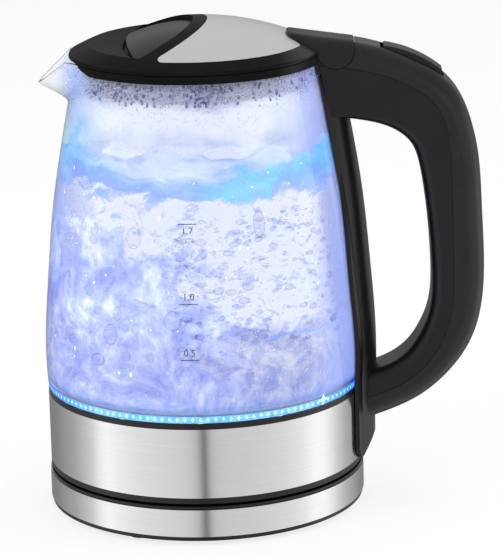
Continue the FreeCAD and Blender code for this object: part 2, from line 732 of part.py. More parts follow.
def nose_grooves():
    """Two fine grooves over the lid's edge in front of the recess."""
    grooves = []
    for side in (-0.5, 0.5):
        low = side * (NOSE_GROOVE_APART + NOSE_GROOVE_W) - NOSE_GROOVE_W / 2
        grooves.append(box((-lid_r, low, lid_z + LID_EDGE_H), (-scoop_r, low + NOSE_GROOVE_W, lid_top_z)))
    return Part.makeCompound(grooves).cut(dome(NOSE_GROOVE_DEPTH))


def lid_pieces():
    places = circle_places(lid_cup_r - LID_SCREW_INSET, LID_SCREW_COUNT, LID_SCREW_START_DEG)
    shell = dome(0.0)
    level = [e for e in shell.Edges if e.BoundBox.ZLength < 1e-3]
    edge = [e for e in level if abs(e.BoundBox.ZMin - lid_z - LID_EDGE_H) < 1e-3]
    shell = shell.makeFillet(LID_EDGE_ROUND, edge)
    rear = box((LID_WALL, -lid_r, lid_z), (lid_r, lid_r, lid_top_z))
    hollow = dome(LID_WALL).common(cylinder(lid_hollow_r, lid_z, lid_top_z)).common(rear)
    hollow = hollow.fuse(cylinder(lid_hollow_r, lid_z, lid_z + LID_HOLLOW_H))
    for x, y in places:
        hollow = hollow.cut(cylinder(LID_BOSS_R, lid_z, lid_top_z, x, y))
    plate_floor = dome(PLATE_T)
    plate_room = plate_outline(SEAT_GAP).cut(plate_floor)
    recess = scoop().fuse(grip_slot())
    shell = shell.cut(hollow).fuse(tongue()).cut(plate_room).cut(recess).cut(nose_grooves())
    shell = shell.cut(lug_slot()).cut(bar(PIN_R + RUN_GAP, hinge_x, hinge_z, PIN_HALF_L + BODY_GAP))
    plate = plate_outline(0.0).common(dome(0.0)).cut(plate_floor)

    cup_z = lid_z - LID_CUP_H
    cup = cylinder(lid_cup_r, cup_z, lid_z)
    cup = cup.cut(cylinder(lid_cup_r - LID_CUP_T, cup_z + LID_CUP_T, lid_z))
    for x, y in places:
        cup = cup.fuse(cylinder(LID_BOSS_R, cup_z, lid_z, x, y))
    screws = []
    screw_length = LID_CUP_H - SCREW_SINK + LID_SCREW_BITE
    hole = screw_hole(screw_length)
    for x, y in places:
        screws.append(placed(screw(screw_length), x, y, cup_z + SCREW_SINK))
        cup = cup.cut(placed(hole, x, y, cup_z + SCREW_SINK))
        shell = shell.cut(placed(hole, x, y, cup_z + SCREW_SINK))
    seal_z = lid_z - LID_SEAL_DROP - LID_SEAL_H
    seal = ring(lid_seal_r, lid_cup_r + SEAT_GAP, seal_z, seal_z + LID_SEAL_H)

    plan = grip_plan(0.0).common(crease_disc(-SEAT_GAP))
    grip = plan.common(grip_barrel(0.0)).cut(grip_barrel(GRIP_T)).common(recess)
    export("lid_top", shell.removeSplitter())
    export("lid_plate", plate)
    export("lid_cup", cup.removeSplitter())
    export("lid_screws", Part.makeCompound(screws))
    export("lid_seal", seal)
    export("lid_grip", grip)


# Handle, spine and switch

def handle_point(offset, share):
    return V(JUG_R + offset, 0, skirt_z + share * (lid_z - skirt_z))


def moved_in(points, distance):
    """Each point moved across the line through its neighbours, to the right of the way along."""
    moved = []
    for i, point in enumerate(points):
        along = points[min(i + 1, len(points) - 1)] - points[max(i - 1, 0)]
        along.normalize()
        moved.append(point + V(along.z, 0, -along.x) * distance)
    return moved


def band_between(outer, inner):
    """A closed outline from an outer line and an inner line that run the same way."""
    first, second = spline(outer), spline(inner)
    edges = [first.toShape(), line(outer[-1], inner[-1]), second.toShape(), line(inner[0], outer[0])]
    return Part.__sortEdges__(edges)


def switch_point(along, above):
    """A point at the switch: along the handle's top to the rear, and above it."""
    start = handle_point(ROCKER_X, ROCKER_SHARE)
    tilt = math.radians(ROCKER_TILT_DEG)
    x = start.x + along * math.cos(tilt) + above * math.sin(tilt)
    return V(x, 0, start.z - along * math.sin(tilt) + above * math.cos(tilt))


def switch_block(along_low, along_high, above_low, above_high, half):
    corners = [(along_low, above_low), (along_low, above_high)]
    corners += [(along_high, above_high), (along_high, above_low)]
    return prism_y(polygon([switch_point(a, b) for a, b in corners]), half)


def rib():
    """The spine's rounded back: round sections that follow the jug's side."""
    top_z = rim_z - RIB_TOP_DROP
    low_z = jug_z + FLANGE_FOOT_RISE
    wires = []
    for share in (0.0, 0.12, 0.3, 0.5, 0.68, 0.84, 1.0):
        z = low_z + share * (top_z - low_z)
        proud = RIB_PROUD_LOW + (RIB_PROUD_TOP - RIB_PROUD_LOW) * share ** 2
        radius = RIB_R_LOW + (RIB_R_TOP - RIB_R_LOW) * share ** 3
        centre = V(jug_radius(z) + proud - radius, 0, z)
        wires.append(Part.Wire(Part.Circle(centre, Z_AXIS, radius).toShape()))
    solid = Part.makeLoft(wires, True, False)
    nose = JUG_R + RIB_PROUD_LOW
    far = nose + OVERCUT
    corner = [V(nose - RIB_CHAMFER_D, 0, low_z), V(far, 0, low_z), V(far, 0, low_z + RIB_CHAMFER_H)]
    return solid.cut(prism_y(polygon(corner), FLANGE_HALF_W))


def shield():
    """The spine's flange as seen from behind, drawn straight through along X."""
    low = jug_z + FLANGE_FOOT_RISE
    half, corner = FLANGE_HALF_W, FLANGE_CORNER_R
    side = [V(0, width, rim_z - drop) for width, drop in zip(FLANGE_TAPER_WIDTHS, FLANGE_TAPER_DROPS)]
    right_curve = spline(side)
    left_curve = spline([V(0, -p.y, p.z) for p in reversed(side)])
    a, b = V(0, half, low + corner), V(0, half - corner, low)
    c, d = V(0, -half + corner, low), V(0, -half, low + corner)
    turn = corner * (1 - math.sqrt(0.5))
    edges = [right_curve.toShape(), line(right_curve.EndPoint, left_curve.StartPoint), left_curve.toShape()]
    edges += [line(left_curve.EndPoint, d), arc(d, V(0, -half + turn, low + turn), c), line(c, b)]
    edges += [arc(b, V(0, half - turn, low + turn), a), line(a, right_curve.StartPoint)]
    return Part.Face(Part.Wire(edges)).extrude(V(2 * JUG_R, 0, 0))


def handle_pieces():
    outer = [handle_point(*p) for p in zip(HANDLE_OUTER_OFFSETS, HANDLE_OUTER_SHARES)]
    inner = [handle_point(*p) for p in zip(HANDLE_INNER_OFFSETS, HANDLE_INNER_SHARES)]
    body = prism_y(band_between(outer, inner), HANDLE_HALF_W)
    body = body.makeFillet(HANDLE_OUTER_ROUND, curved_edges(body, outer))
    body = body.makeFillet(HANDLE_INNER_ROUND, curved_edges(body, inner))
    neck = [V(GLASS_RIM_R, 0, inner[0].z), V(GLASS_RIM_R, 0, rim_z), V(outer[0].x, 0, rim_z)]
    neck.append(V(outer[0].x, 0, inner[0].z))
    span = slice(HOLLOW_SKIP_COUNT, -HOLLOW_END_COUNT)
    hollow_edges = band_between(moved_in(outer, HANDLE_WALL)[span], moved_in(inner, -HANDLE_WALL)[span])
    hollow = prism_y(hollow_edges, HANDLE_HALF_W - HANDLE_WALL)
    clear = jug_body(FLANGE_GAP + FLANGE_T + SEAT_GAP)
    against = jug_body(FLANGE_GAP)
    back = rib().cut(against)
    body = body.fuse(prism_y(polygon(neck), HANDLE_HALF_W)).cut(hollow)
    body = body.cut(clear).cut(rib()).cut(barrel_room())
    opening = switch_block(-ROCKER_END_GAP, ROCKER_L + ROCKER_END_GAP,
                           -ROCKER_DEPTH - ROCKER_DIP, ROCKER_DEPTH, ROCKER_HALF_W + ROCKER_SIDE_GAP)
    body = body.cut(opening).cut(steam_tube_bar(STEAM_TUBE_R + SEAT_GAP))

    flange = jug_body(FLANGE_GAP + FLANGE_T).cut(against).common(shield())
    spine = flange.fuse(back)
    cable = cable_strip(CABLE_DEPTH, CABLE_T, CABLE_HALF_W, 0.0)
    spine = spine.cut(cable_strip(CABLE_DEPTH, CABLE_T, CABLE_HALF_W, SEAT_GAP))

    screws = []
    for share in HANDLE_SCREW_SHARES:
        z = handle_point(0.0, share).z
        start = jug_radius(z) + FLANGE_GAP + SCREW_SINK
        turn = FreeCAD.Rotation(Z_AXIS, V(1, 0, 0))
        place = FreeCAD.Placement(V(start, 0, z), turn)
        screws.append(moved(screw(HANDLE_SCREW_L), place))
        room = moved(screw_hole(HANDLE_SCREW_L), place)
        spine = spine.cut(room)
        body = body.cut(room)

    seam = [V(GLASS_RIM_R - GLASS_WALL, 0, hinge_z - BARREL_R + SEAM_START_RISE)]
    seam += [b + (a - b) * share for a, b, share in zip(outer, inner, HANDLE_SEAM_SHARES)][1:]
    seam_edges = [spline(seam).toShape(), line(seam[-1], seam[0])]
    inner_side = prism_y(seam_edges, 2 * HANDLE_HALF_W)
    front = box((0, -HANDLE_HALF_W, inner[0].z), (hinge_x, HANDLE_HALF_W, lid_top_z))
    lug_low = V(hinge_x - LUG_R, -LUG_HALF_W, hinge_z - BARREL_R - LUG_R)
    lug = box(lug_low, (hinge_x + LUG_R, LUG_HALF_W, hinge_z))
    lug = lug.fuse(bar(LUG_R, hinge_x, hinge_z, LUG_HALF_W))
    sides = [moved_in(seam, way * SEAM_GROOVE_W / 2) for way in (-1, 1)]
    groove = prism_y(band_between(*sides), HANDLE_HALF_W + OVERCUT)
    core_half = HANDLE_HALF_W - SEAM_GROOVE_DEPTH
    body = body.cut(groove.cut(box((0, -core_half, 0), (3 * JUG_R, core_half, lid_top_z))))
    upper = body.cut(inner_side).cut(front).cut(lug)
    lower = body.common(inner_side.fuse(front)).fuse(lug)
    pin = bar(PIN_R, hinge_x, hinge_z, PIN_HALF_L)
    export("handle_outer_shell", upper.removeSplitter())
    export("handle_inner_shell", lower.cut(pin).removeSplitter())
    export("handle_spine", spine.removeSplitter())
    export("handle_screws", Part.makeCompound(screws))
    export("spine_cable", cable)
    export("lid_hinge_pin", pin)


def cable_strip(depth, thickness, half, grow):
    """A flat strip that follows the jug's side inside the spine's rib."""
    low, high = depth - grow, depth + thickness + grow
    span = box((0, -half - grow, seat_z), (2 * JUG_R, half + grow, rim_z - CABLE_TOP_DROP + grow))
    return jug_body(high).cut(jug_body(low)).common(span)


def moved(shape, placement):
    copy = shape.copy()
    copy.Placement = placement
    return copy


def steam_tube_bar(radius):
    """A bar along the steam's way in, from the neck to the frame of the steam switch."""
    end = switch_point((ROCKER_L - FRAME_L) / 2 - SEAT_GAP, -FRAME_DEPTH + STEAM_TUBE_R)
    along = switch_point(1, 0) - switch_point(0, 0)
    return Part.makeCylinder(radius, STEAM_TUBE_L, end - along * STEAM_TUBE_L, along)


def switch_pieces():
    pivot = switch_point(ROCKER_L / 2, -ROCKER_PIVOT_DEPTH)
    left, right = switch_point(0, -ROCKER_DEPTH), switch_point(ROCKER_L, -ROCKER_DEPTH)
    top_left, top_right = switch_point(0, ROCKER_FRONT_H), switch_point(ROCKER_L, ROCKER_REAR_H)
    crown = switch_point(ROCKER_L / 2, ROCKER_CROWN_H)
    edges = [line(left, top_left), arc(top_left, crown, top_right), line(top_right, right), line(right, left)]
    rocker = prism_y(edges, ROCKER_HALF_W)
    high_edges = [e for e in rocker.Edges if e.BoundBox.ZMax > top_right.z - 1e-6]
    top_edges = [e for e in high_edges if e.BoundBox.ZMin > right.z + 1e-6]
    rocker = rocker.makeFillet(ROCKER_ROUND, [e for e in top_edges if not is_upright(e, left, top_left)])
    stub_half = ROCKER_HALF_W + ROCKER_SIDE_GAP + FRAME_T
    rocker = rocker.fuse(bar(ROCKER_PIVOT_R, pivot.x, pivot.z, stub_half)).removeSplitter()
    lever = switch_block(ROCKER_L / 2 - LEVER_T / 2, ROCKER_L / 2 + LEVER_T / 2,
                         -ROCKER_DEPTH - LEVER_L, -ROCKER_DEPTH, LEVER_HALF_W)

    start, end = (ROCKER_L - FRAME_L) / 2, (ROCKER_L + FRAME_L) / 2
    cheek_in = ROCKER_HALF_W + ROCKER_SIDE_GAP
    frame = switch_block(start, end, -FRAME_DEPTH, -HANDLE_WALL - SEAT_GAP, cheek_in + FRAME_T)
    frame = frame.cut(switch_block(start, end, -FRAME_DEPTH + FRAME_T, 0, cheek_in))
    frame = frame.cut(bar(ROCKER_PIVOT_R + RUN_GAP, pivot.x, pivot.z, 2 * HANDLE_HALF_W))
    floor = switch_point(ROCKER_L / 2, -FRAME_DEPTH + FRAME_T)
    up = switch_point(0, 1) - switch_point(0, 0)
    disc = Part.makeCylinder(DISC_R, DISC_T, floor, up)
    tube = steam_tube_bar(STEAM_TUBE_R).cut(steam_tube_bar(STEAM_TUBE_BORE_R))
    print("rocker pivot", round(pivot.x, 3), round(pivot.z, 3), "lid pin", hinge_x, round(hinge_z, 3))
    export("switch_rocker", rocker)
    export("trip_lever", lever)
    export("steam_switch_frame", frame)
    export("bimetal_disc", disc)
    export("steam_tube", tube)


def is_upright(edge, low, high):
    """Whether an edge stands across the handle's top, as an end edge of the rocker does."""
    along = edge.Vertexes[-1].Point - edge.Vertexes[0].Point
    across = high - low
    return along.Length > 1e-6 and abs(along.dot(across)) > 0.99 * along.Length * across.Length


def curved_edges(body, points):
    """The two long curved edges of a prism that run along a line of points."""
    found = []
    for edge in body.Edges:
        ends = [edge.Vertexes[0].Point, edge.Vertexes[-1].Point]
        flat = [V(p.x, 0, p.z) for p in ends]
        if max(min(p.distanceToPoint(points[0]), p.distanceToPoint(points[-1])) for p in flat) < 1e-6:
            if flat[0].distanceToPoint(flat[1]) > HANDLE_WALL:
                found.append(edge)
    return found


if __name__ == "__main__":
    os.makedirs("parts", exist_ok=True)
    base_pieces()
    connector_pieces()
    jug_foot_pieces()
    export("glass_jug", glass_jug())
    export("collar", collar())
    lid_pieces()
    handle_pieces()
    switch_pieces()
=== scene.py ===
import bmesh
import bpy
import json
import math
import random
from types import SimpleNamespace

import numpy as np
from mathutils import Matrix, Vector, noise


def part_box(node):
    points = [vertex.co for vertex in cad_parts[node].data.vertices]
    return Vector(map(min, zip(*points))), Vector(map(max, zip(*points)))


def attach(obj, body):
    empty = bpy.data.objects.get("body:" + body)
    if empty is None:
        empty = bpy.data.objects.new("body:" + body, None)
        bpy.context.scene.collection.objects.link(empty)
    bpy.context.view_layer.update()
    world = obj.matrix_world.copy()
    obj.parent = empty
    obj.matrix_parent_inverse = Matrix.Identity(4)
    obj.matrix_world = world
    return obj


# Looks of a cordless glass kettle, in metres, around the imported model's frame.
# A pair of numbers named for a fade is where it is 0 and where it is 1. Numbers named for a noise are its
# scale, its detail and, where it isn't a half, its roughness; those for cells are their scale and softness.
# Numbers named for a ball are its rings and its segments.

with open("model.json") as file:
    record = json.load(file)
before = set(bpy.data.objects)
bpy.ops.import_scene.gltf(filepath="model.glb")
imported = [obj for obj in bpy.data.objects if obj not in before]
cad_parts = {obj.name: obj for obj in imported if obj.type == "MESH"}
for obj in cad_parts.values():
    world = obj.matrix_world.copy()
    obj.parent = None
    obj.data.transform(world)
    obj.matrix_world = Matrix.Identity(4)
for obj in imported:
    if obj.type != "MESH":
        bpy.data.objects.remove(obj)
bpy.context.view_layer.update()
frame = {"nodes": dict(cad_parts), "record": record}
NODES = frame["nodes"]
JUG = "jug"
MM = 0.001
SEED = 7


def linear(red, green, blue):
    """A colour given on the usual 0 to 255 scale, as the linear values that shaders take."""
    shares = [c / 255.0 for c in (red, green, blue)]
    return tuple(s / 12.92 if s <= 0.04045 else ((s + 0.055) / 1.055) ** 2.4 for s in shares) + (1.0,)


def grey(share):
    return (share, share, share, 1.0)


WHITE = grey(1.0)

# Camera: the photograph's view, with lengths of the image in its pixels
PHOTO_HEIGHT_PX = 560
FOCAL_PX = 3066.0
SENSOR_MM = 36.0
CAMERA_DISTANCE = 1.505
CAMERA_HEIGHT = 0.518
CAMERA_AIM_Z = 0.113
CAMERA_TURN_DEG = 2.0
CAMERA_YAW_DEG = -0.94
CAMERA_ROLL_DEG = -1.47

# Stage: the studio's stops are degrees round the object, 0 at the front, and brightness
FLOOR_HALF = 6.0
FLOOR_DROP = 0.0003
FLOOR_SHADE = 0.9
FLOOR_GLOW_SHARE = 0.80
FILL_STRENGTH = 0.70
STUDIO_STRENGTH = 1.5
STUDIO_STOPS = (
    (-180, 0.14), (-144, 0.20), (-112, 0.37), (-92, 0.61), (-84, 0.88), (-76, 1.0), (-68, 0.91),
    (-50, 0.77), (-16, 0.64), (-9, 0.58), (-4, 0.47), (-1, 0.15), (0.3, 0.0), (1.6, 0.24),
    (3.2, 0.45), (6, 0.54), (9, 0.57), (14, 0.60), (44, 0.65), (60, 0.71), (76, 0.82),
    (86, 0.98), (96, 1.0), (104, 0.86), (112, 0.66), (125, 0.43), (150, 0.22), (180, 0.14),
)
CEILING = 0.40
CEILING_FADE = (0.05, 0.30)
LAMP_AIM = (0.03, 0, 0.13)
LAMPS = (  # name, place, size, power
    ("key", (-0.9, -0.9, 1.3), 0.9, 9.0),
    ("rim", (1.2, -0.2, 0.9), 0.7, 6.0),
    ("top", (0.1, 0.3, 1.6), 1.0, 7.0),
)

# Plastics: darkest and lightest shade, least and most roughness, depth of the grain, shine
HANDLE_SHINE = 0.32
CROWN_SHINE = 0.02
LID_PLASTIC = (0.006, 0.008, 0.32, 0.40, 0.000010, CROWN_SHINE)
TONGUE_FADE = (0.042, 0.058)
MARK_INK = (0.05, 0.07, 0.5, 0.6, 0.000002, 0.3)
PLASTICS = {
    "black_plastic": (0.005, 0.007, 0.26, 0.34, 0.000012, HANDLE_SHINE),
    "shell_black": (0.007, 0.010, 0.24, 0.32, 0.000012, 0.38),
    "connector_plastic": (0.02, 0.03, 0.45, 0.55, 0.00001, 0.4),
    "grey_plastic": (0.012, 0.018, 0.20, 0.30, 0.000006, 0.12),
    "pale_plastic": (0.55, 0.62, 0.45, 0.55, 0.00001, 0.4),
    "foot_rubber": (0.008, 0.014, 0.75, 0.9, 0.00004, 0.3),
    "silicone": (0.50, 0.58, 0.55, 0.7, 0.00002, 0.4),
    "cable_jacket": (0.02, 0.03, 0.6, 0.7, 0.00002, 0.3),
    "board": (0.6, 0.7, 0.5, 0.6, 0.00001, 0.4),
}
MOTTLE_NOISE = (60.0, 4.0)
MOTTLE_DARK = 0.3
MOTTLE_LIGHT = 0.7
GRAIN_NOISE = (2600.0, 2.0)

# Brushed metals: darkest and lightest shade, least and most roughness, stretch of the scratches,
# and whether they run round a turned band
BRUSHED_METALS = {
    "brushed_steel": (0.60, 0.67, 0.15, 0.20, (24.0, 24.0, 5200.0), True),
    "heater_steel": (0.80, 0.90, 0.45, 0.60, (2600.0, 40.0, 40.0), False),
    "satin_metal": (0.84, 0.92, 0.36, 0.44, (1500.0, 1500.0, 1500.0), False),
}
SCRATCH_NOISE = (1.0, 4.0, 0.6)
SCRATCH_DARK = 0.25
SCRATCH_LIGHT = 0.75
SCRATCH_DEPTH = 0.000006
TURNED_STRETCH = 0.75

# Plain metals: colour and roughness
PLAIN_METALS = {
    "screw_steel": ((0.55, 0.55, 0.56, 1.0), 0.25),
    "contact_brass": ((0.62, 0.45, 0.20, 1.0), 0.28),
    "element_metal": (grey(0.45), 0.45),
}
METAL_SPOT_NOISE = (900.0, 3.0)
METAL_SPOT_DEPTH = 0.00001
METAL_UNEVEN = 0.2

GLASS_TINT = (0.96, 0.98, 1.0, 1.0)
GLASS_IOR = 1.45
WATER_IOR = 1.33

# Lit surfaces and drops: where a noise turns from the deep colour to the pale one
PATCH_LOW = 0.35
PATCH_HIGH = 0.75
GLOW_PATCH_NOISE = (300.0, 2.0)
GLOW_SIDE_FADE = (0.048, 0.076)
DROP_PATCH_NOISE = (500.0, 2.0)
DROP_RIM_BLEND = 0.45
GLOWS = {  # colour, colour at the jug's sides, colour of the pale spots, strength
    "lamp": (linear(90, 190, 255), linear(60, 140, 255), WHITE, 1.5),
    "sparkle": (linear(232, 240, 255), linear(200, 220, 255), WHITE, 0.8),
    "light_band": (linear(84, 158, 250), linear(44, 94, 240), linear(150, 214, 255), 0.8),
    "glint": (linear(150, 235, 255), linear(110, 205, 255), WHITE, 1.5),
}
DROPS = {  # colour, alpha in the middle and at the rim
    "bubble": (linear(104, 122, 226), 0.10, 0.90),
    "fine_drop": (linear(132, 140, 196), 0.25, 0.80),
    "large_drop": (linear(62, 76, 164), 0.50, 0.95),
    "boil_bubble": (linear(112, 132, 232), 0.03, 0.60),
}

# Nodes with a material of their own: the lid's crown and the collar are duller, the outer shell is lighter
OWN_MATERIALS = {"lid_top": "lid_black", "collar": "lid_black", "handle_outer_shell": "shell_black"}

# Water: noises
SWIRL_NOISE = (30.0, 2.0)
SWIRL_REACH = 0.030
SOFT_NOISE = (48.0, 5.0, 0.6)
FINE_NOISE = (150.0, 4.0, 0.6)
LUMP_CELLS = (70.0, 1.0)
SPECK_CELLS = (620.0, 0.3)
RIPPLE_STRETCH = (34.0, 34.0, 84.0)
RIPPLE_NOISE = (1.0, 6.0, 0.62)
SMEAR_STRETCH = (120.0, 120.0, 300.0)
SMEAR_NOISE = (1.0, 4.0, 0.6)

# Water: its body, from the heater plate up to a heaving surface
PLATE_LIFT = 1.2 * MM
RIM_LIFT = 0.4 * MM
BOWL_INSET = 1.4 * MM
WATER_DEPTH = 0.0010
WATER_TOP = 0.191
WALL_STEPS = 40
SURFACE_STEPS = 24
WATER_SEGMENTS = 160
WATER_HEAVE = 0.006
HEAVE_REACH = 0.03
HEAVE_SCALE = 38.0
HEAVE_FRACTAL = (1.0, 2.0, 3)  # dimension, lacunarity, octaves
AT_WALL = 0.999

# Water: zones of its look, in the jug's own coordinates
FRONT_FADE_Y = (0.010, -0.020)
CLOUD_X = -0.050
CLOUD_Z = 0.090
CLOUD_FADE_R = (0.074, 0.056)
CLOUD_SOFT_FRAY = -0.10
CLOUD_LUMP_FRAY = -0.03
BILLOW_GRAIN = 0.45
WAVE_SWAY = 0.04
WAVE_FADE_Z = (0.168, 0.173)
SURFACE_FADE_R = (0.064, 0.058)
SURFACE_FADE_Z = (0.170, 0.176)
CREST_FADE_Z = (WATER_TOP - 0.010, WATER_TOP + 0.002)
EDGE_FADE_X = (0.052, 0.076)
LOW_SWAY = 0.010
LOW_FADE_Z = (0.117, 0.109)
LOW_LINE_Z = 0.1035
LOW_LINE_SWAY = 0.012
LOW_LINE_HALF = 0.0012
LOW_LINE_SOFT = 0.0010
LOW_LINE_FADE_X = (0.020, 0.045)
SPECK_FADE = (0.30, 0.12)
FOOT_GLOW_FADE_Z = (0.076, 0.064)
SMEAR_FADE = (0.52, 0.66)
# Painted cyan light: a streak rising to the right across the waves, and a band beside them on the left
STREAK_Z = 0.171
STREAK_RISE = 0.25
STREAK_HALF = 0.012
STREAK_SOFT = 0.010
STREAK_FADE_X = (-0.012, 0.020)
STREAK_GRAIN_FADE = (0.24, 0.56)
SIDE_LIGHT_Z = 0.193
SIDE_LIGHT_HALF = 0.016
SIDE_LIGHT_SOFT = 0.014
SIDE_LIGHT_FADE_X = (-0.028, -0.058)

# Water: colours, their shares, and how far each zone hides what is behind it
VAPOUR_SHADES = (
    (0.36, linear(142, 156, 236)), (0.48, linear(170, 184, 246)), (0.57, linear(194, 206, 250)),
    (0.66, linear(226, 232, 253)), (0.73, linear(250, 251, 255)),
)
WAVE_SHADES = (
    (0.40, linear(126, 160, 238)), (0.54, linear(146, 179, 246)), (0.67, linear(168, 199, 251)),
    (0.75, linear(212, 229, 254)), (0.82, linear(252, 253, 255)),
)
LOW_SHADES = ((0.36, linear(146, 154, 212)), (0.50, linear(176, 182, 222)), (0.62, linear(206, 208, 230)))
CLEAR_COLOUR = linear(154, 172, 248)
EDGE_COLOUR = linear(170, 187, 249)
CYAN_COLOUR = linear(108, 205, 250)
CREST_COLOUR = linear(216, 227, 253)
SURFACE_COLOUR = linear(226, 234, 254)
SPECK_COLOUR = linear(240, 242, 252)
LOW_LINE_COLOUR = linear(112, 164, 250)
FOOT_GLOW_COLOUR = linear(96, 150, 252)
CYAN_SHARE = 0.78
CREST_SHARE = 0.40
SPECK_SHARE = 0.7
LOW_LINE_SHARE = 0.8
LOW_IN_CLOUD = 0.45
FOOT_GLOW_SHARE = 0.6
CLOUD_ALPHA = 0.92
WAVE_ALPHA = 0.88
CREST_THINNER = -0.30
EDGE_ALPHA = 0.75
LOW_ALPHA = 0.82
SMEAR_ALPHA = 0.55
FRONT_ALPHA = 0.09
BACK_ALPHA = 0.04
WATER_LIGHT = 0.20
SURFACE_LIGHT = 0.24
WATER_BUMP = 0.0035
LUMP_BUMP_SHARE = 0.4

# Fog on the glass above the water
FILM_DEPTH = 0.0012
FILM_LOW = 0.175
FILM_HIGH = 0.2300
FILM_FACING = 0.1
FILM_DRIFT_NOISE = (45.0, 4.0)
FILM_SWAY = 0.03
# Painted shade under the collar: a grey band in the fog, with darker beads in it
COLLAR_SHADE_SWAY = 0.010
COLLAR_SHADE_FADE_Z = (0.2130, 0.2185)
MILK_FADE_Z = (0.190, 0.206)
FOG_FADE_Z = (0.187, 0.207)
FILM_LEFT_FADE_X = (-0.040, -0.062)
FILM_RIGHT_FADE_X = (0.034, 0.058)
FILM_SPOUT_FADE_X = (-0.071, -0.056)
FILM_CYAN_HALF = 0.015
FILM_CYAN_SOFT = 0.012
FILM_COLOUR_SHARE = 0.8
THIN_FOG_COLOUR = linear(210, 221, 252)
MILK_COLOUR = linear(230, 234, 249)
COLLAR_SHADE_COLOUR = linear(182, 185, 208)
FILM_LEFT_COLOUR = linear(156, 184, 250)
FILM_RIGHT_COLOUR = linear(178, 190, 251)
FILM_CYAN_COLOUR = linear(116, 206, 250)
FOG_ALPHA = 0.78
FILM_CYAN_ALPHA = 0.6
FILM_RIGHT_ALPHA = 0.7
FILM_LIGHT = 0.15

# Beads of the fog, drawn in the material, each with a painted highlight set off from its middle
BEAD_SCALE = 640.0
BEAD_HIGHLIGHT_LIFT = 0.00025
BEAD_DENSE_FADE_Z = (0.198, 0.221)
BEAD_CHANCE = 0.85
BEAD_DARK_FADE = (0.44, 0.30)
BEAD_HIGHLIGHT_FADE = (0.30, 0.16)
BEAD_DARK_SHARE = 0.85
BEAD_COLOUR = linear(202, 210, 242)
COLLAR_SHADE_BEAD_COLOUR = linear(98, 106, 168)
BEAD_HIGHLIGHT_COLOUR = linear(254, 254, 255)
BEAD_BUMP = 0.0002

# Swarms of blobs in the glass's wall: degrees and heights between which they lie, their smallest half width
# and what the largest has more, their height as a share of it, the depth of their middles, half depth
BUBBLES = dict(
    count=300, degrees=(-98.0, -30.0), heights=(0.096, 0.164), small=0.0006, spread=0.0024,
    shape=(0.35, 0.7), depth=0.00085, deep=0.0003,
)
BOIL_BUBBLES = dict(
    count=84, degrees=(-150.0, -88.0), heights=(0.088, 0.158), small=0.0008, spread=0.0036,
    shape=(0.5, 1.5), depth=0.00085, deep=0.0003,
)
# Painted highlights: small glowing flecks in the vapour and waves
SPARKLES = dict(
    count=110, degrees=(-158.0, -40.0), heights=(0.086, 0.184), small=0.00015, spread=0.00045,
    shape=(0.5, 2.2), depth=0.0006, deep=0.00015,
)
BUBBLE_BALL = (8, 14)
BOIL_BALL = (8, 18)
DROP_BALL = (6, 10)
SMALL_BALL = (6, 8)
BIG_BUBBLE_DEG = -65.0
BIG_BUBBLE_Z = 0.159
BIG_BUBBLE_HALVES = (0.0032, 0.0068, 0.0003)

# Drops under the collar: large ones in clusters of a middle angle, a spread and a count
DROP_DEPTH = 0.0009
DROP_FLATNESS = 0.45
FINE_DROP_COUNT = 620
FINE_DROP_LOW = 0.213
FINE_DROP_REACH = 0.014
FINE_DROP_SIZES = (0.00020, 0.00045)
FINE_DROP_SHAPE = (1.0, 1.7)
FINE_DROP_GAPS = (-0.5, 0.25)
DROP_PATCH_TURNS = 4.0
DROP_PATCH_RISE = 60.0
DROP_CLUSTERS = ((-126.0, 34.0, 100), (-84.0, 12.0, 60), (-60.0, 34.0, 30))
LARGE_DROP_HEIGHTS = (0.2165, 0.2262)
LARGE_DROP_SIZES = (0.00035, 0.00085)
LARGE_DROP_SHAPE = (1.0, 1.6)
SPOUT_DEG = 180.0
SPOUT_HALF_DEG = 32.0

# Lights at the glass's foot: heights above its lower edge, depths in its wall, half lengths of each lens
RING_LOW = 0.4 * MM
RING_TALL = 3.4 * MM
RING_DEPTH = 0.95 * MM
RING_SEGMENTS = 192
GLINT_COUNT = 132
GLINT_Z = 2.2 * MM
GLINT_DEPTH = 0.6 * MM
GLINT_LENSES = ((0.40 * MM, 1.0 * MM, 0.25 * MM), (0.8 * MM, 0.34 * MM, 0.25 * MM))
FLARE_DEG = -41.0
FLARE_Z = 3.0 * MM
FLARE_DEPTH = 0.5 * MM
FLARE_LENSES = ((0.9 * MM, 3.0 * MM, 0.25 * MM), (3.4 * MM, 0.8 * MM, 0.25 * MM))

# Level marks on the front of the glass: height, number, and whether the number is below or above its line
MARK_DEG = -93.0
MARK_WIDTH = 0.009
MARK_LINE = 0.0004
MARK_COLUMNS = 12
MARK_LIFT = 0.00006
MARK_TEXT_H = 0.0034
MARK_TEXT_SIZE = MARK_TEXT_H * 1.4
MARKS = ((0.1612, "1.7", -1), (0.1224, "1.0", 1), (0.0949, "0.5", 1))

# Reading the glass's outer side off its mesh: what counts as beside in height, and how far in its inner
# side lies at least
BESIDE = 4.0 * MM
INNER_STEP = 1.5 * MM


# Node helpers

def add(tree, kind, inputs=None, **settings):
    node = tree.nodes.new(kind)
    for key, value in settings.items():
        setattr(node, key, value)
    for key, value in (inputs or {}).items():
        if isinstance(value, bpy.types.NodeSocket):
            tree.links.new(value, node.inputs[key])
        else:
            node.inputs[key].default_value = value
    return node


def math_node(tree, operation, *values):
    return add(tree, "ShaderNodeMath", dict(enumerate(values)), operation=operation).outputs[0]


def vector_math(tree, operation, first, second):
    return add(tree, "ShaderNodeVectorMath", {0: first, 1: second}, operation=operation).outputs[0]


def axes_of(tree, where):
    return add(tree, "ShaderNodeSeparateXYZ", {0: where}).outputs


def times(tree, *values):
    product = values[0]
    for value in values[1:]:
        product = math_node(tree, "MULTIPLY", product, value)
    return product


def largest(tree, *values):
    top = values[0]
    for value in values[1:]:
        top = math_node(tree, "MAXIMUM", top, value)
    return top


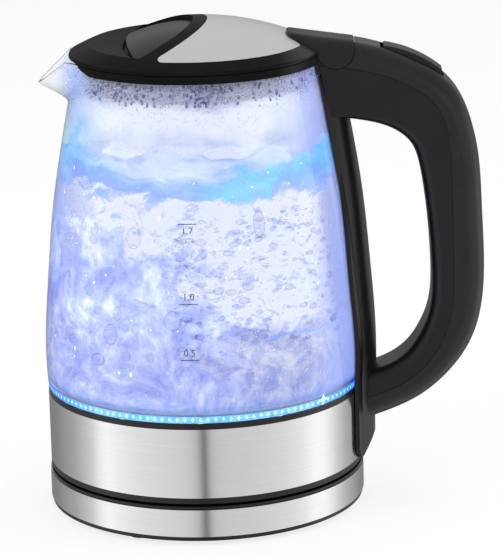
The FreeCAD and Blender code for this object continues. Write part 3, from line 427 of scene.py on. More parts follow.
def between(tree, value, low, high):
    """0 at low, 1 at high and smooth in between."""
    inputs = {"Value": value, "From Min": low, "From Max": high}
    return add(tree, "ShaderNodeMapRange", inputs, interpolation_type="SMOOTHSTEP").outputs[0]


def near(tree, value, reach, soft):
    """1 where a value is close to 0, fading out at a reach."""
    return between(tree, math_node(tree, "ABSOLUTE", value), reach, reach - soft)


def scaled(tree, value, low, high):
    """A value between 0 and 1, carried over to between low and high."""
    return add(tree, "ShaderNodeMapRange", {"Value": value, "To Min": low, "To Max": high}).outputs[0]


def swayed(tree, value, pattern, reach):
    """A value pushed up and down by a noise whose middle is 0.5."""
    return math_node(tree, "MULTIPLY_ADD", math_node(tree, "SUBTRACT", pattern, 0.5), reach, value)


def ramp(tree, value, stops):
    """A colour ramp: stops are (place, colour or grey)."""
    node = add(tree, "ShaderNodeValToRGB", {"Fac": value})
    elements = node.color_ramp.elements
    elements.remove(elements[1])
    for i, (place, colour) in enumerate(stops):
        element = elements[0] if i == 0 else elements.new(place)
        element.position = place
        element.color = colour if isinstance(colour, tuple) else grey(colour)
    return node.outputs["Color"]


def mix(tree, share, first, second):
    node = add(tree, "ShaderNodeMix", data_type="RGBA")
    for name, value in (("Factor", share), ("A", first), ("B", second)):
        socket = next(s for s in node.inputs if s.name == name and s.enabled)
        if isinstance(value, bpy.types.NodeSocket):
            tree.links.new(value, socket)
        else:
            socket.default_value = value
    return next(s for s in node.outputs if s.enabled)


def layered(tree, colour, *layers):
    """A colour with others laid over it in turn, each with its share."""
    for share, layer in layers:
        colour = mix(tree, share, colour, layer)
    return colour


def mixed_shaders(tree, share, first, second):
    inputs = {0: share, 1: first.outputs[0], 2: second.outputs[0]}
    return add(tree, "ShaderNodeMixShader", inputs)


def place_of(tree, scale=(1.0, 1.0, 1.0)):
    """The piece's own coordinates, stretched."""
    where = add(tree, "ShaderNodeTexCoord").outputs["Object"]
    return vector_math(tree, "MULTIPLY", where, scale)


def cloud(tree, where, scale, detail, roughness=0.5):
    """A soft noise: its grey and its colour outputs."""
    inputs = {"Vector": where, "Scale": scale, "Detail": detail, "Roughness": roughness}
    outputs = add(tree, "ShaderNodeTexNoise", inputs).outputs
    return outputs["Fac"], outputs["Color"]


def cells(tree, where, scale, softness):
    inputs = {"Vector": where, "Scale": scale, "Smoothness": softness}
    return add(tree, "ShaderNodeTexVoronoi", inputs, feature="SMOOTH_F1").outputs["Distance"]


def swirled(tree, where):
    """Coordinates pushed about by a slow noise."""
    push = vector_math(tree, "SUBTRACT", cloud(tree, where, *SWIRL_NOISE)[1], (0.5, 0.5, 0.5))
    reach = (SWIRL_REACH, SWIRL_REACH, SWIRL_REACH)
    return vector_math(tree, "ADD", where, vector_math(tree, "MULTIPLY", push, reach))


def new_material(name):
    material = bpy.data.materials.new(name)
    material.use_nodes = True
    tree = material.node_tree
    shader = next(n for n in tree.nodes if n.type == "BSDF_PRINCIPLED")
    return material, tree, shader


def surface_of(tree):
    """What the material's output shows as its surface."""
    return next(n for n in tree.nodes if n.type == "OUTPUT_MATERIAL").inputs["Surface"]


def set_inputs(shader, **values):
    for key, value in values.items():
        shader.inputs[key.replace("_", " ")].default_value = value


def link_inputs(tree, shader, **sockets):
    for key, socket in sockets.items():
        tree.links.new(socket, shader.inputs[key.replace("_", " ")])


def bump(tree, shader, height, distance):
    node = add(tree, "ShaderNodeBump", {"Height": height, "Distance": distance})
    link_inputs(tree, shader, Normal=node.outputs["Normal"])


# Materials

def plastic(name, dark, light, rough_low, rough_high, grain, shine):
    """Moulded plastic: a faint mottle, a fine spark-eroded grain and uneven gloss."""
    material, tree, shader = new_material(name)
    where = place_of(tree)
    mottle = cloud(tree, where, *MOTTLE_NOISE)[0]
    shade = ramp(tree, mottle, ((MOTTLE_DARK, dark), (MOTTLE_LIGHT, light)))
    link_inputs(tree, shader, Base_Color=shade)
    link_inputs(tree, shader, Roughness=scaled(tree, mottle, rough_low, rough_high))
    bump(tree, shader, cloud(tree, where, *GRAIN_NOISE)[0], grain)
    set_inputs(shader, Specular_IOR_Level=shine)
    return material


def lid_plastic(name):
    """The handle's plastic, with a tongue as glossy as the handle and a duller crown."""
    material = plastic(name, *LID_PLASTIC)
    tree = material.node_tree
    shader = next(n for n in tree.nodes if n.type == "BSDF_PRINCIPLED")
    inputs = {"Value": axes_of(tree, place_of(tree))[0], "To Min": CROWN_SHINE, "To Max": HANDLE_SHINE}
    inputs["From Min"], inputs["From Max"] = TONGUE_FADE
    link_inputs(tree, shader, Specular_IOR_Level=add(tree, "ShaderNodeMapRange", inputs).outputs[0])
    return material


def brushed(name, dark, light, rough_low, rough_high, stretch, turned):
    """Brushed metal: long scratches, round the band where it is turned, and gloss that follows them."""
    material, tree, shader = new_material(name)
    lines = cloud(tree, place_of(tree, stretch), *SCRATCH_NOISE)[0]
    shade = ramp(tree, lines, ((SCRATCH_DARK, dark), (SCRATCH_LIGHT, light)))
    link_inputs(tree, shader, Base_Color=shade)
    link_inputs(tree, shader, Roughness=scaled(tree, lines, rough_low, rough_high))
    bump(tree, shader, lines, SCRATCH_DEPTH)
    set_inputs(shader, Metallic=1.0)
    if turned:
        tangent = add(tree, "ShaderNodeTangent", direction_type="RADIAL", axis="Z")
        link_inputs(tree, shader, Tangent=tangent.outputs[0])
        set_inputs(shader, Anisotropic=TURNED_STRETCH, Anisotropic_Rotation=0.25)
    return material


def plain_metal(name, colour, rough):
    """Turned or drawn metal with a slight unevenness."""
    material, tree, shader = new_material(name)
    spots = cloud(tree, place_of(tree), *METAL_SPOT_NOISE)[0]
    gloss = scaled(tree, spots, rough * (1 - METAL_UNEVEN), rough * (1 + METAL_UNEVEN))
    link_inputs(tree, shader, Roughness=gloss)
    bump(tree, shader, spots, METAL_SPOT_DEPTH)
    set_inputs(shader, Base_Color=colour, Metallic=1.0)
    return material


def glass(name):
    """Clear glass that lets lamps through to what it holds."""
    material, tree, shader = new_material(name)
    set_inputs(shader, Base_Color=GLASS_TINT, Roughness=0.0, IOR=GLASS_IOR, Transmission_Weight=1.0)
    shadow = add(tree, "ShaderNodeLightPath").outputs["Is Shadow Ray"]
    both = mixed_shaders(tree, shadow, shader, add(tree, "ShaderNodeBsdfTransparent"))
    tree.links.new(both.outputs[0], surface_of(tree))
    return material


def glow(name):
    """A lit surface, pale in spots and deeper in colour at the jug's sides."""
    colour, side_colour, pale, strength = GLOWS[name]
    material, tree, shader = new_material(name)
    where = place_of(tree)
    spots = cloud(tree, where, *GLOW_PATCH_NOISE)[0]
    shade = ramp(tree, spots, ((PATCH_LOW, colour), (PATCH_HIGH, pale)))
    side = between(tree, math_node(tree, "ABSOLUTE", axes_of(tree, where)[0]), *GLOW_SIDE_FADE)
    link_inputs(tree, shader, Emission_Color=mix(tree, side, shade, side_colour))
    set_inputs(shader, Base_Color=colour, Emission_Strength=strength, Roughness=0.3)
    return material


def clear_drop(name):
    """A drop or bubble: clear in the middle and dark towards its rim."""
    colour, middle_alpha, rim_alpha = DROPS[name]
    material, tree, shader = new_material(name)
    tone = cloud(tree, place_of(tree), *DROP_PATCH_NOISE)[0]
    pale = tuple(0.5 + 0.5 * c for c in colour[:3]) + (1.0,)
    shade = ramp(tree, tone, ((PATCH_LOW, colour), (PATCH_HIGH, pale)))
    link_inputs(tree, shader, Base_Color=shade)
    rim = add(tree, "ShaderNodeLayerWeight", {"Blend": DROP_RIM_BLEND}).outputs["Facing"]
    link_inputs(tree, shader, Alpha=scaled(tree, rim, middle_alpha, rim_alpha))
    set_inputs(shader, Roughness=0.05, IOR=WATER_IOR)
    return material


def water_noises(tree, where):
    """The patterns that shape the water, all on the same swirled coordinates."""
    warped = swirled(tree, where)
    wide = vector_math(tree, "MULTIPLY", warped, RIPPLE_STRETCH)
    flat = vector_math(tree, "MULTIPLY", warped, SMEAR_STRETCH)
    return SimpleNamespace(
        soft=cloud(tree, warped, *SOFT_NOISE)[0],
        fine=cloud(tree, warped, *FINE_NOISE)[0],
        lumps=math_node(tree, "SUBTRACT", 1.0, cells(tree, warped, *LUMP_CELLS)),
        ripple=cloud(tree, wide, *RIPPLE_NOISE)[0],
        smear=cloud(tree, flat, *SMEAR_NOISE)[0],
        speck=cells(tree, warped, *SPECK_CELLS),
    )


def vapour_zone(tree, x, z, noises):
    """1 in the frayed cloud of vapour."""
    away_x = math_node(tree, "SUBTRACT", x, CLOUD_X)
    away_z = math_node(tree, "SUBTRACT", z, CLOUD_Z)
    squares = [math_node(tree, "POWER", away, 2.0) for away in (away_x, away_z)]
    away = math_node(tree, "SQRT", math_node(tree, "ADD", *squares))
    frayed = swayed(tree, away, noises.soft, CLOUD_SOFT_FRAY)
    frayed = swayed(tree, frayed, noises.lumps, CLOUD_LUMP_FRAY)
    return between(tree, frayed, *CLOUD_FADE_R)


def water_zones(tree, where, noises):
    """Where each look of the water holds. Vapour, smears, low zone and low line keep to the front half."""
    x, y, z = axes_of(tree, where)
    level = vector_math(tree, "MULTIPLY", where, (1.0, 1.0, 0.0))
    radius = add(tree, "ShaderNodeVectorMath", {0: level}, operation="LENGTH").outputs["Value"]
    front = between(tree, y, *FRONT_FADE_Y)
    wavy = swayed(tree, z, noises.ripple, WAVE_SWAY)
    settled = math_node(tree, "MULTIPLY_ADD", noises.fine, LOW_SWAY, z)
    swell = swayed(tree, z, noises.ripple, LOW_LINE_SWAY)
    line = near(tree, math_node(tree, "SUBTRACT", swell, LOW_LINE_Z), LOW_LINE_HALF, LOW_LINE_SOFT)
    inside = between(tree, radius, *SURFACE_FADE_R)
    # Painted cyan light: the streak and the band beside it
    rise = math_node(tree, "SUBTRACT", wavy, STREAK_Z)
    rise = math_node(tree, "MULTIPLY_ADD", x, -STREAK_RISE, rise)
    streak = times(tree, near(tree, rise, STREAK_HALF, STREAK_SOFT), between(tree, x, *STREAK_FADE_X))
    beside = math_node(tree, "SUBTRACT", wavy, SIDE_LIGHT_Z)
    beside = near(tree, beside, SIDE_LIGHT_HALF, SIDE_LIGHT_SOFT)
    return SimpleNamespace(
        front=front,
        cloudy=times(tree, vapour_zone(tree, x, z, noises), front),
        waves=between(tree, wavy, *WAVE_FADE_Z),
        crest=between(tree, wavy, *CREST_FADE_Z),
        surface=times(tree, inside, between(tree, z, *SURFACE_FADE_Z)),
        edge=between(tree, math_node(tree, "ABSOLUTE", x), *EDGE_FADE_X),
        low=times(tree, between(tree, settled, *LOW_FADE_Z), front),
        line=times(tree, line, between(tree, x, *LOW_LINE_FADE_X), front),
        specks=between(tree, noises.speck, *SPECK_FADE),
        smears=times(tree, between(tree, noises.smear, *SMEAR_FADE), front),
        glowing=between(tree, z, *FOOT_GLOW_FADE_Z),
        streak=times(tree, streak, between(tree, noises.fine, *STREAK_GRAIN_FADE)),
        beside=times(tree, beside, between(tree, x, *SIDE_LIGHT_FADE_X)),
    )


def water_colour(tree, noises, zones):
    vapour = ramp(tree, swayed(tree, noises.soft, noises.fine, BILLOW_GRAIN), VAPOUR_SHADES)
    wave = layered(
        tree, ramp(tree, noises.ripple, WAVE_SHADES),
        (times(tree, largest(tree, zones.streak, zones.beside), CYAN_SHARE), CYAN_COLOUR),
        (times(tree, zones.crest, CREST_SHARE), CREST_COLOUR),
        # Painted light: the water's top surface paler
        (zones.surface, SURFACE_COLOUR),
    )
    bottom = layered(
        tree, ramp(tree, noises.fine, LOW_SHADES),
        (times(tree, zones.specks, SPECK_SHARE), SPECK_COLOUR),
        (times(tree, zones.line, LOW_LINE_SHARE), LOW_LINE_COLOUR),
    )
    vapour = mix(tree, times(tree, zones.low, LOW_IN_CLOUD), vapour, bottom)
    return layered(
        tree, CLEAR_COLOUR,
        (zones.low, bottom),
        (zones.edge, EDGE_COLOUR),
        (zones.cloudy, vapour),
        (zones.waves, wave),
        (times(tree, zones.glowing, FOOT_GLOW_SHARE), FOOT_GLOW_COLOUR),
    )


def water_alpha(tree, zones):
    wave_alpha = math_node(tree, "MULTIPLY_ADD", zones.crest, CREST_THINNER, WAVE_ALPHA)
    clear = math_node(tree, "MULTIPLY_ADD", zones.front, FRONT_ALPHA, BACK_ALPHA)
    return largest(
        tree,
        times(tree, zones.cloudy, CLOUD_ALPHA),
        times(tree, zones.waves, wave_alpha),
        times(tree, zones.edge, EDGE_ALPHA),
        times(tree, zones.low, LOW_ALPHA),
        math_node(tree, "MULTIPLY_ADD", zones.smears, SMEAR_ALPHA, clear),
    )


def boiling_water():
    """Boiling water lit from below: vapour on the left, a clear reach with smears, waves and cyan light."""
    material, tree, shader = new_material("boiling_water")
    where = place_of(tree)
    noises = water_noises(tree, where)
    zones = water_zones(tree, where, noises)
    colour = water_colour(tree, noises, zones)
    # Painted light: the water's top surface glows more, against the shade under the lid
    light = math_node(tree, "MULTIPLY_ADD", zones.surface, SURFACE_LIGHT, WATER_LIGHT)
    link_inputs(tree, shader, Base_Color=colour, Emission_Color=colour, Emission_Strength=light)
    link_inputs(tree, shader, Alpha=water_alpha(tree, zones))
    set_inputs(shader, Roughness=0.3, IOR=WATER_IOR, Specular_IOR_Level=0.2)
    height = math_node(tree, "ADD", noises.soft, times(tree, noises.lumps, LUMP_BUMP_SHARE))
    bump(tree, shader, height, WATER_BUMP)
    return material


def fog_beads(tree, where, wavy):
    """Dark beads of fog and a painted highlight on each, more of them higher up."""
    beads = add(tree, "ShaderNodeTexVoronoi", {"Vector": where, "Scale": BEAD_SCALE})
    lifted = vector_math(tree, "ADD", where, (0.0, 0.0, BEAD_HIGHLIGHT_LIFT))
    shine = add(tree, "ShaderNodeTexVoronoi", {"Vector": lifted, "Scale": BEAD_SCALE})
    chance = axes_of(tree, beads.outputs["Color"])[0]
    dense = between(tree, wavy, *BEAD_DENSE_FADE_Z)
    there = math_node(tree, "LESS_THAN", chance, times(tree, dense, BEAD_CHANCE))
    dark = times(tree, between(tree, beads.outputs["Distance"], *BEAD_DARK_FADE), there)
    bright = times(tree, between(tree, shine.outputs["Distance"], *BEAD_HIGHLIGHT_FADE), there)
    return dark, bright


def steam_film():
    """Fogged glass: milky, clear near the water, beaded with fine drops that thicken under the collar, where
    a band of painted shade lies.
    """
    material, tree, shader = new_material("steam_film")
    where = place_of(tree)
    x, _, z = axes_of(tree, where)
    drift = cloud(tree, where, *FILM_DRIFT_NOISE)[0]
    wavy = swayed(tree, z, drift, FILM_SWAY)
    # Painted shade: a grey band under the collar, its beads darker too
    band = between(tree, swayed(tree, z, drift, COLLAR_SHADE_SWAY), *COLLAR_SHADE_FADE_Z)
    left = between(tree, x, *FILM_LEFT_FADE_X)
    right = between(tree, x, *FILM_RIGHT_FADE_X)
    # Painted cyan light on the fog's left side, at the height of the water's side light
    cyan = near(tree, math_node(tree, "SUBTRACT", wavy, SIDE_LIGHT_Z), FILM_CYAN_HALF, FILM_CYAN_SOFT)
    cyan = times(tree, left, cyan)
    dark, bright = fog_beads(tree, where, wavy)
    colour = layered(
        tree, THIN_FOG_COLOUR,
        (between(tree, wavy, *MILK_FADE_Z), MILK_COLOUR),
        (band, COLLAR_SHADE_COLOUR),
        (times(tree, left, FILM_COLOUR_SHARE), FILM_LEFT_COLOUR),
        (times(tree, right, FILM_COLOUR_SHARE), FILM_RIGHT_COLOUR),
        (times(tree, cyan, FILM_COLOUR_SHARE), FILM_CYAN_COLOUR),
        (times(tree, dark, BEAD_DARK_SHARE), mix(tree, band, BEAD_COLOUR, COLLAR_SHADE_BEAD_COLOUR)),
        # Painted highlights on the beads
        (bright, BEAD_HIGHLIGHT_COLOUR),
    )
    fog = times(tree, between(tree, wavy, *FOG_FADE_Z), FOG_ALPHA)
    thick = largest(tree, fog, times(tree, cyan, FILM_CYAN_ALPHA), times(tree, right, FILM_RIGHT_ALPHA))
    thick = times(tree, thick, between(tree, x, *FILM_SPOUT_FADE_X))
    link_inputs(tree, shader, Base_Color=colour, Emission_Color=colour, Alpha=thick)
    set_inputs(shader, Emission_Strength=FILM_LIGHT, Roughness=0.5)
    bump(tree, shader, dark, BEAD_BUMP)
    return material


def make_materials():
    """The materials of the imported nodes, by name."""
    made = {name: plastic(name, *values) for name, values in PLASTICS.items()}
    made.update({name: brushed(name, *values) for name, values in BRUSHED_METALS.items()})
    made.update({name: plain_metal(name, *values) for name, values in PLAIN_METALS.items()})
    made["lid_black"] = lid_plastic("lid_black")
    made["clear_glass"] = glass("clear_glass")
    made["lamp"] = glow("lamp")
    return made


def dress_nodes(materials):
    """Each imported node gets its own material, or else that of its slot in the record."""
    slots = {s["node"]: s["material_slot"] for s in frame["record"]["subparts"]}
    for name, node in NODES.items():
        node.data.materials.clear()
        node.data.materials.append(materials[OWN_MATERIALS.get(name, slots[name])])


# Mesh helpers

def new_object(name, mesh, material, body):
    piece = bpy.data.objects.new(name, mesh)
    bpy.context.scene.collection.objects.link(piece)
    mesh.materials.append(material)
    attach(piece, body)


def smooth(mesh):
    mesh.polygons.foreach_set("use_smooth", [True] * len(mesh.polygons))
    mesh.update()


def glass_sides():
    """The glass's outer radius by height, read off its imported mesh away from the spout."""
    found = {}
    for vertex in NODES["glass_jug"].data.vertices:
        x, y, z = vertex.co
        if x > 0:
            key = round(z, 4)
            found[key] = max(found.get(key, 0.0), math.hypot(x, y))
    heights = np.array(sorted(found))
    radii = np.array([found[h] for h in heights])
    beside = np.abs(heights[:, None] - heights[None, :]) < BESIDE
    outer = radii > np.where(beside, radii[None, :], 0.0).max(axis=1) - INNER_STEP
    return heights[outer], radii[outer]


HEIGHTS, RADII = glass_sides()


def glass_radius(height):
    return float(np.interp(height, HEIGHTS, RADII))


def wall_point(angle, height, depth):
    """A point at a depth in the glass's wall, and the way that the wall faces there."""
    slope = (glass_radius(height + MM) - glass_radius(height - MM)) / (2 * MM)
    level = Vector((math.cos(angle), math.sin(angle), 0))
    out = (level - Vector((0, 0, slope))).normalized()
    return level * glass_radius(height) + Vector((0, 0, height)) - out * depth, out


def turned_mesh(name, profile, segments):
    """A surface turned about Z from (radius, height) points; a radius of 0 closes an end."""
    build = bmesh.new()
    angles = [2 * math.pi * i / segments for i in range(segments)]
    rings = []
    for radius, height in profile:
        if radius == 0:
            rings.append([build.verts.new((0, 0, height))])
            continue
        rings.append([build.verts.new((radius * math.cos(a), radius * math.sin(a), height)) for a in angles])
    for low, high in zip(rings, rings[1:]):
        for i in range(segments):
            j = (i + 1) % segments
            corners = [low[i % len(low)], low[j % len(low)], high[j % len(high)], high[i % len(high)]]
            build.faces.new(list(dict.fromkeys(corners)))
    bmesh.ops.recalc_face_normals(build, faces=build.faces)
    mesh = bpy.data.meshes.new(name)
    build.to_mesh(mesh)
    build.free()
    smooth(mesh)
    return mesh


def unit_ball(rings, segments):
    """Points and faces of a ball of radius 1, with its poles on the third axis."""
    points = [(0.0, 0.0, 1.0)]
    for i in range(1, rings):
        tilt = math.pi * i / rings
        for j in range(segments):
            turn = 2 * math.pi * j / segments
            points.append((math.sin(tilt) * math.cos(turn), math.sin(tilt) * math.sin(turn), math.cos(tilt)))
    points.append((0.0, 0.0, -1.0))
    faces = []
    bottom = 1 + (rings - 2) * segments
    for j in range(segments):
        k = (j + 1) % segments
        faces.append((0, 1 + j, 1 + k))
        for low in range(1, bottom, segments):
            faces.append((low + j, low + segments + j, low + segments + k, low + k))
        faces.append((bottom + k, bottom + j, len(points) - 1))
    return np.array(points), faces


def blob_mesh(name, blobs, rings, segments):
    """One mesh of egg-shaped blobs: a centre, the way each faces, and half lengths across, up and out."""
    ball, faces = unit_ball(rings, segments)
    points = []
    all_faces = []
    for centre, out, (across, tall, deep) in blobs:
        side = Vector((0, 0, 1)).cross(out).normalized()
        axes = np.array([side * across, out.cross(side) * tall, out * deep])
        start = len(points) * len(ball)
        points.append(ball @ axes + np.array(centre))
        all_faces += [tuple(start + corner for corner in face) for face in faces]
    mesh = bpy.data.meshes.new(name)
    mesh.from_pydata(np.concatenate(points).tolist(), [], all_faces)
    smooth(mesh)
    return mesh


# Pieces in the glass

def water_profile(low, rim, bowl):
    """Radius and height from the middle of the heater plate, up the wall and in over the water's surface."""
    profile = [(0, low), (bowl, low), (bowl, rim)]
    for i in range(WALL_STEPS + 1):
        height = rim + (WATER_TOP - rim) * i / WALL_STEPS
        profile.append((glass_radius(height) - WATER_DEPTH, height))
    top_r = profile[-1][0]
    profile += [(top_r * (1 - i / SURFACE_STEPS), WATER_TOP) for i in range(1, SURFACE_STEPS)]
    return profile + [(0, WATER_TOP)]


def heave(mesh, rim, bowl):
    """Lifts the water's surface in waves, with its edge kept against the wall."""
    for vertex in mesh.vertices:
        x, y, z = vertex.co
        share = max(0.0, (z - WATER_TOP + HEAVE_REACH) / HEAVE_REACH)
        wave = noise.fractal(Vector((x, y, 0)) * HEAVE_SCALE, *HEAVE_FRACTAL)
        new_z = z + WATER_HEAVE * wave * share
        reach = math.hypot(x, y)
        at_wall = reach / (glass_radius(z) - WATER_DEPTH) > AT_WALL
        if at_wall and z > rim and reach > bowl * 0.5:
            fit = glass_radius(new_z) - WATER_DEPTH
            vertex.co = (x * fit / reach, y * fit / reach, new_z)
        else:
            vertex.co.z = new_z


def water(material):
    """The water's body, with a surface that heaves as it boils."""
    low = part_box("heater_plate")[0].z + PLATE_LIFT
    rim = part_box("heater_plate")[1].z + RIM_LIFT
    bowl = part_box("heater_plate")[1].x - BOWL_INSET
    mesh = turned_mesh("water", water_profile(low, rim, bowl), WATER_SEGMENTS)
    heave(mesh, rim, bowl)
    new_object("water", mesh, material, JUG)


def film(material):
    """Fog above the water: the glass's outer faces again, set into its wall."""
    source = NODES["glass_jug"].data
    faces = []
    for face in source.polygons:
        outward = face.normal.xy.dot(face.center.xy) > FILM_FACING * face.center.xy.length
        if outward and FILM_LOW < face.center.z < FILM_HIGH:
            faces.append(face)
    used = sorted({v for face in faces for v in face.vertices})
    place = {v: i for i, v in enumerate(used)}
    away = {v: Vector() for v in used}
    for face in faces:
        for v in face.vertices:
            away[v] += face.normal * face.area
    points = [source.vertices[v].co - away[v].normalized() * FILM_DEPTH for v in used]
    mesh = bpy.data.meshes.new("steam_film")
    mesh.from_pydata([tuple(p) for p in points], [], [[place[v] for v in face.vertices] for face in faces])
    smooth(mesh)
    new_object("steam_film", mesh, material, JUG)


def swarm(draw, count, degrees, heights, small, spread, shape, depth, deep):
    """Flattened blobs at random places in the wall, more of them small than large."""
    blobs = []
    for _ in range(count):
        angle = math.radians(draw.uniform(*degrees))
        height = draw.uniform(*heights)
        wide = small + spread * draw.random() ** 3
        centre, out = wall_point(angle, height, depth)
        blobs.append((centre, out, (wide, wide * draw.uniform(*shape), deep)))
    return blobs


def bubbles(material, draw):
    """Steam bubbles that rise in the clear part of the water, and one large one."""
    blobs = swarm(draw, **BUBBLES)
    centre, out = wall_point(math.radians(BIG_BUBBLE_DEG), BIG_BUBBLE_Z, BUBBLES["depth"])
    blobs.append((centre, out, BIG_BUBBLE_HALVES))
    new_object("bubbles", blob_mesh("bubbles", blobs, *BUBBLE_BALL), material, JUG)


def boil(material, draw):
    """Larger and rounder bubbles in the vapour."""
    mesh = blob_mesh("boil_bubbles", swarm(draw, **BOIL_BUBBLES), *BOIL_BALL)
    new_object("boil_bubbles", mesh, material, JUG)


def sparkles(material, draw):
    """Small glowing flecks, painted highlights where vapour and waves catch the light."""
    mesh = blob_mesh("sparkles", swarm(draw, **SPARKLES), *SMALL_BALL)
    new_object("sparkles", mesh, material, JUG)


def spout_side(angle):
    """True where the spout opens, so that nothing clings to a wall that isn't there."""
    return abs(math.degrees(angle) % 360.0 - SPOUT_DEG) < SPOUT_HALF_DEG


def fine_drops(material, draw):
    """Condensation under the collar in patches, thicker towards the top."""
    blobs = []
    while len(blobs) < FINE_DROP_COUNT:
        angle = draw.uniform(0.0, 2 * math.pi)
        height = FINE_DROP_LOW + FINE_DROP_REACH * math.sqrt(draw.random())
        size = draw.uniform(*FINE_DROP_SIZES)
        across = Vector((math.cos(angle), math.sin(angle), 0)) * DROP_PATCH_TURNS
        patch = noise.noise(across + Vector((0, 0, height * DROP_PATCH_RISE)))
        if spout_side(angle) or patch < draw.uniform(*FINE_DROP_GAPS):
            continue
        centre, out = wall_point(angle, height, DROP_DEPTH)
        halves = (size, size * draw.uniform(*FINE_DROP_SHAPE), size * DROP_FLATNESS)
        blobs.append((centre, out, halves))
    new_object("fine_drops", blob_mesh("fine_drops", blobs, *SMALL_BALL), material, JUG)


def large_drops(material, draw):
    """Large drops in their clusters."""
    blobs = []
    for middle, spread, count in DROP_CLUSTERS:
        for _ in range(count):
            angle = math.radians(draw.gauss(middle, spread * 0.5))
            height = draw.uniform(*LARGE_DROP_HEIGHTS)
            size = draw.uniform(*LARGE_DROP_SIZES)
            centre, out = wall_point(angle, height, DROP_DEPTH)
            halves = (size, size * draw.uniform(*LARGE_DROP_SHAPE), size * DROP_FLATNESS)
            blobs.append((centre, out, halves))
    new_object("large_drops", blob_mesh("large_drops", blobs, *DROP_BALL), material, JUG)


def light_ring(material):
    """The lit band at the glass's foot."""
    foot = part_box("glass_jug")[0].z
    profile = []
    for share in (0.0, 0.5, 1.0):
        height = foot + RING_LOW + RING_TALL * share
        profile.append((glass_radius(height) - RING_DEPTH, height))
    new_object("light_ring", turned_mesh("light_ring", profile, RING_SEGMENTS), material, JUG)


def glints(material):
    """Stars of light in the glass's foot, an upright and a level lens each, and one large flare."""
    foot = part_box("glass_jug")[0].z
    stars = [(2 * math.pi * i / GLINT_COUNT, GLINT_Z, GLINT_DEPTH, GLINT_LENSES) for i in range(GLINT_COUNT)]
    stars.append((math.radians(FLARE_DEG), FLARE_Z, FLARE_DEPTH, FLARE_LENSES))
    blobs = []
    for angle, height, depth, lenses in stars:
        centre, out = wall_point(angle, foot + height, depth)
        blobs += [(centre, out, lens) for lens in lenses]
    new_object("glints", blob_mesh("glints", blobs, *SMALL_BALL), material, JUG)


# Level marks

def wrap_on_glass(mesh, height):
    """Bends a flat drawing, made about the origin, onto the glass's front at a height."""
    for vertex in mesh.vertices:
        x, y, z = vertex.co
        radius = glass_radius(height + y) + MARK_LIFT + z
        angle = math.radians(MARK_DEG) + x / radius
        vertex.co = (radius * math.cos(angle), radius * math.sin(angle), height + y)
    mesh.update()


def mark_line(height):
    """A thin line across the glass."""
    build = bmesh.new()
    places = [MARK_WIDTH * (i / MARK_COLUMNS - 0.5) for i in range(MARK_COLUMNS + 1)]
    lower = [build.verts.new((place, -0.5 * MARK_LINE, 0)) for place in places]
    upper = [build.verts.new((place, 0.5 * MARK_LINE, 0)) for place in places]
    for i in range(MARK_COLUMNS):
        build.faces.new((lower[i], lower[i + 1], upper[i + 1], upper[i]))
    mesh = bpy.data.meshes.new("mark_line")
    build.to_mesh(mesh)
    build.free()
    wrap_on_glass(mesh, height)
    return mesh


def mark_number(text, height):
    curve = bpy.data.curves.new("mark_number", "FONT")
    curve.body = text
    curve.size = MARK_TEXT_SIZE
    curve.align_x = "CENTER"
    curve.align_y = "CENTER"
    holder = bpy.data.objects.new("mark_number", curve)
    mesh = bpy.data.meshes.new_from_object(holder)
    bpy.data.objects.remove(holder)
    wrap_on_glass(mesh, height)
    return mesh


def level_marks(material):
    for height, text, side in MARKS:
        name = "mark_" + text.replace(".", "_")
        new_object(name + "_line", mark_line(height), material, JUG)
        new_object(name + "_number", mark_number(text, height + side * MARK_TEXT_H), material, JUG)


def make_pieces():
    draw = random.Random(SEED)
    water(boiling_water())
    film(steam_film())
    bubbles(clear_drop("bubble"), draw)
    fine_drops(clear_drop("fine_drop"), draw)
    large_drops(clear_drop("large_drop"), draw)
    boil(clear_drop("boil_bubble"), draw)
    sparkles(glow("sparkle"), draw)
    light_ring(glow("light_band"))
    glints(glow("glint"))
    level_marks(plastic("mark_ink", *MARK_INK))


# Stage

def make_camera():
    place = Vector((0, -CAMERA_DISTANCE, CAMERA_HEIGHT))
    forward = (Vector((0, 0, CAMERA_AIM_Z)) - place).normalized()
    forward = Matrix.Rotation(math.radians(CAMERA_YAW_DEG), 3, "Z") @ forward
    right = forward.cross(Vector((0, 0, 1))).normalized()
    up = right.cross(forward)
    cosine = math.cos(math.radians(CAMERA_ROLL_DEG))
    sine = math.sin(math.radians(CAMERA_ROLL_DEG))
    rolled_right = right * cosine + up * sine
    rolled_up = up * cosine - right * sine
    look = Matrix((rolled_right, rolled_up, -forward)).transposed().to_4x4()
    data = bpy.data.cameras.new("camera")
    data.sensor_width = SENSOR_MM
    data.lens = FOCAL_PX * SENSOR_MM / PHOTO_HEIGHT_PX
    camera = bpy.data.objects.new("camera", data)
    bpy.context.scene.collection.objects.link(camera)
    turn = Matrix.Rotation(math.radians(CAMERA_TURN_DEG), 4, "Z")
    camera.matrix_world = turn @ Matrix.Translation(place) @ look
    bpy.context.scene.camera = camera


def seen_rays(tree, path):
    """1 for what the camera sees, straight or through glass."""
    return math_node(tree, "MAXIMUM", path["Is Camera Ray"], path["Is Transmission Ray"])


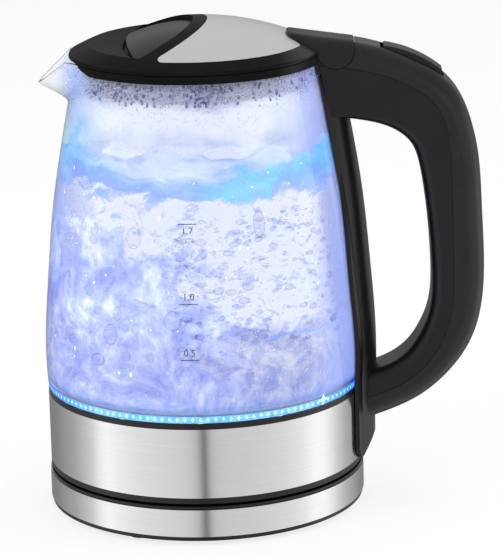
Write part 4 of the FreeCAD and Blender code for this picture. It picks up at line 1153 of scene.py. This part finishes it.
def make_world():
    """White behind the object, a studio of tall lights for reflections, and an even fill."""
    world = bpy.data.worlds.new("studio")
    bpy.context.scene.world = world
    world.use_nodes = True
    tree = world.node_tree
    tree.nodes.clear()
    path = add(tree, "ShaderNodeLightPath").outputs
    axes = axes_of(tree, add(tree, "ShaderNodeTexCoord").outputs["Generated"])
    turn = math_node(tree, "ARCTAN2", axes[0], math_node(tree, "MULTIPLY", axes[1], -1.0))
    share = math_node(tree, "MULTIPLY_ADD", turn, 1 / (2 * math.pi), 0.5)
    tall = ramp(tree, share, [(degrees / 360.0 + 0.5, light) for degrees, light in STUDIO_STOPS])
    shone = mix(tree, between(tree, axes[2], *CEILING_FADE), tall, grey(CEILING))
    studio = add(tree, "ShaderNodeBackground", {"Color": shone, "Strength": STUDIO_STRENGTH})
    white = add(tree, "ShaderNodeBackground", {"Color": WHITE, "Strength": 1.0})
    fill = add(tree, "ShaderNodeBackground", {"Color": WHITE, "Strength": FILL_STRENGTH})
    shine = mixed_shaders(tree, path["Is Glossy Ray"], fill, studio)
    both = mixed_shaders(tree, seen_rays(tree, path), shine, white)
    out = add(tree, "ShaderNodeOutputWorld")
    tree.links.new(both.outputs[0], out.inputs["Surface"])


def floor_material():
    """A pale floor that shows near white, keeps the shadow and lets reflections see the studio."""
    material, tree, shader = new_material("floor")
    set_inputs(shader, Base_Color=grey(FLOOR_SHADE), Roughness=1.0, Specular_IOR_Level=0.0)
    white = add(tree, "ShaderNodeEmission", {"Color": WHITE, "Strength": 1.0})
    path = add(tree, "ShaderNodeLightPath").outputs
    lit = mixed_shaders(tree, times(tree, seen_rays(tree, path), FLOOR_GLOW_SHARE), shader, white)
    both = mixed_shaders(tree, path["Is Glossy Ray"], lit, add(tree, "ShaderNodeBsdfTransparent"))
    tree.links.new(both.outputs[0], surface_of(tree))
    return material


def make_floor():
    mesh = bpy.data.meshes.new("floor")
    corners = [(-1, -1), (1, -1), (1, 1), (-1, 1)]
    points = [(x * FLOOR_HALF, y * FLOOR_HALF, -FLOOR_DROP) for x, y in corners]
    mesh.from_pydata(points, [], [(0, 1, 2, 3)])
    mesh.materials.append(floor_material())
    floor = bpy.data.objects.new("floor", mesh)
    bpy.context.scene.collection.objects.link(floor)


def make_lamps():
    for name, place, size, power in LAMPS:
        data = bpy.data.lights.new(name, "AREA")
        data.size = size
        data.energy = power
        lamp = bpy.data.objects.new(name, data)
        lamp.location = place
        lamp.rotation_euler = (Vector(LAMP_AIM) - Vector(place)).to_track_quat("-Z", "Y").to_euler()
        lamp.visible_glossy = False
        bpy.context.scene.collection.objects.link(lamp)


bpy.context.scene.view_settings.view_transform = "Standard"
dress_nodes(make_materials())
make_pieces()
make_world()
make_floor()
make_lamps()
make_camera()
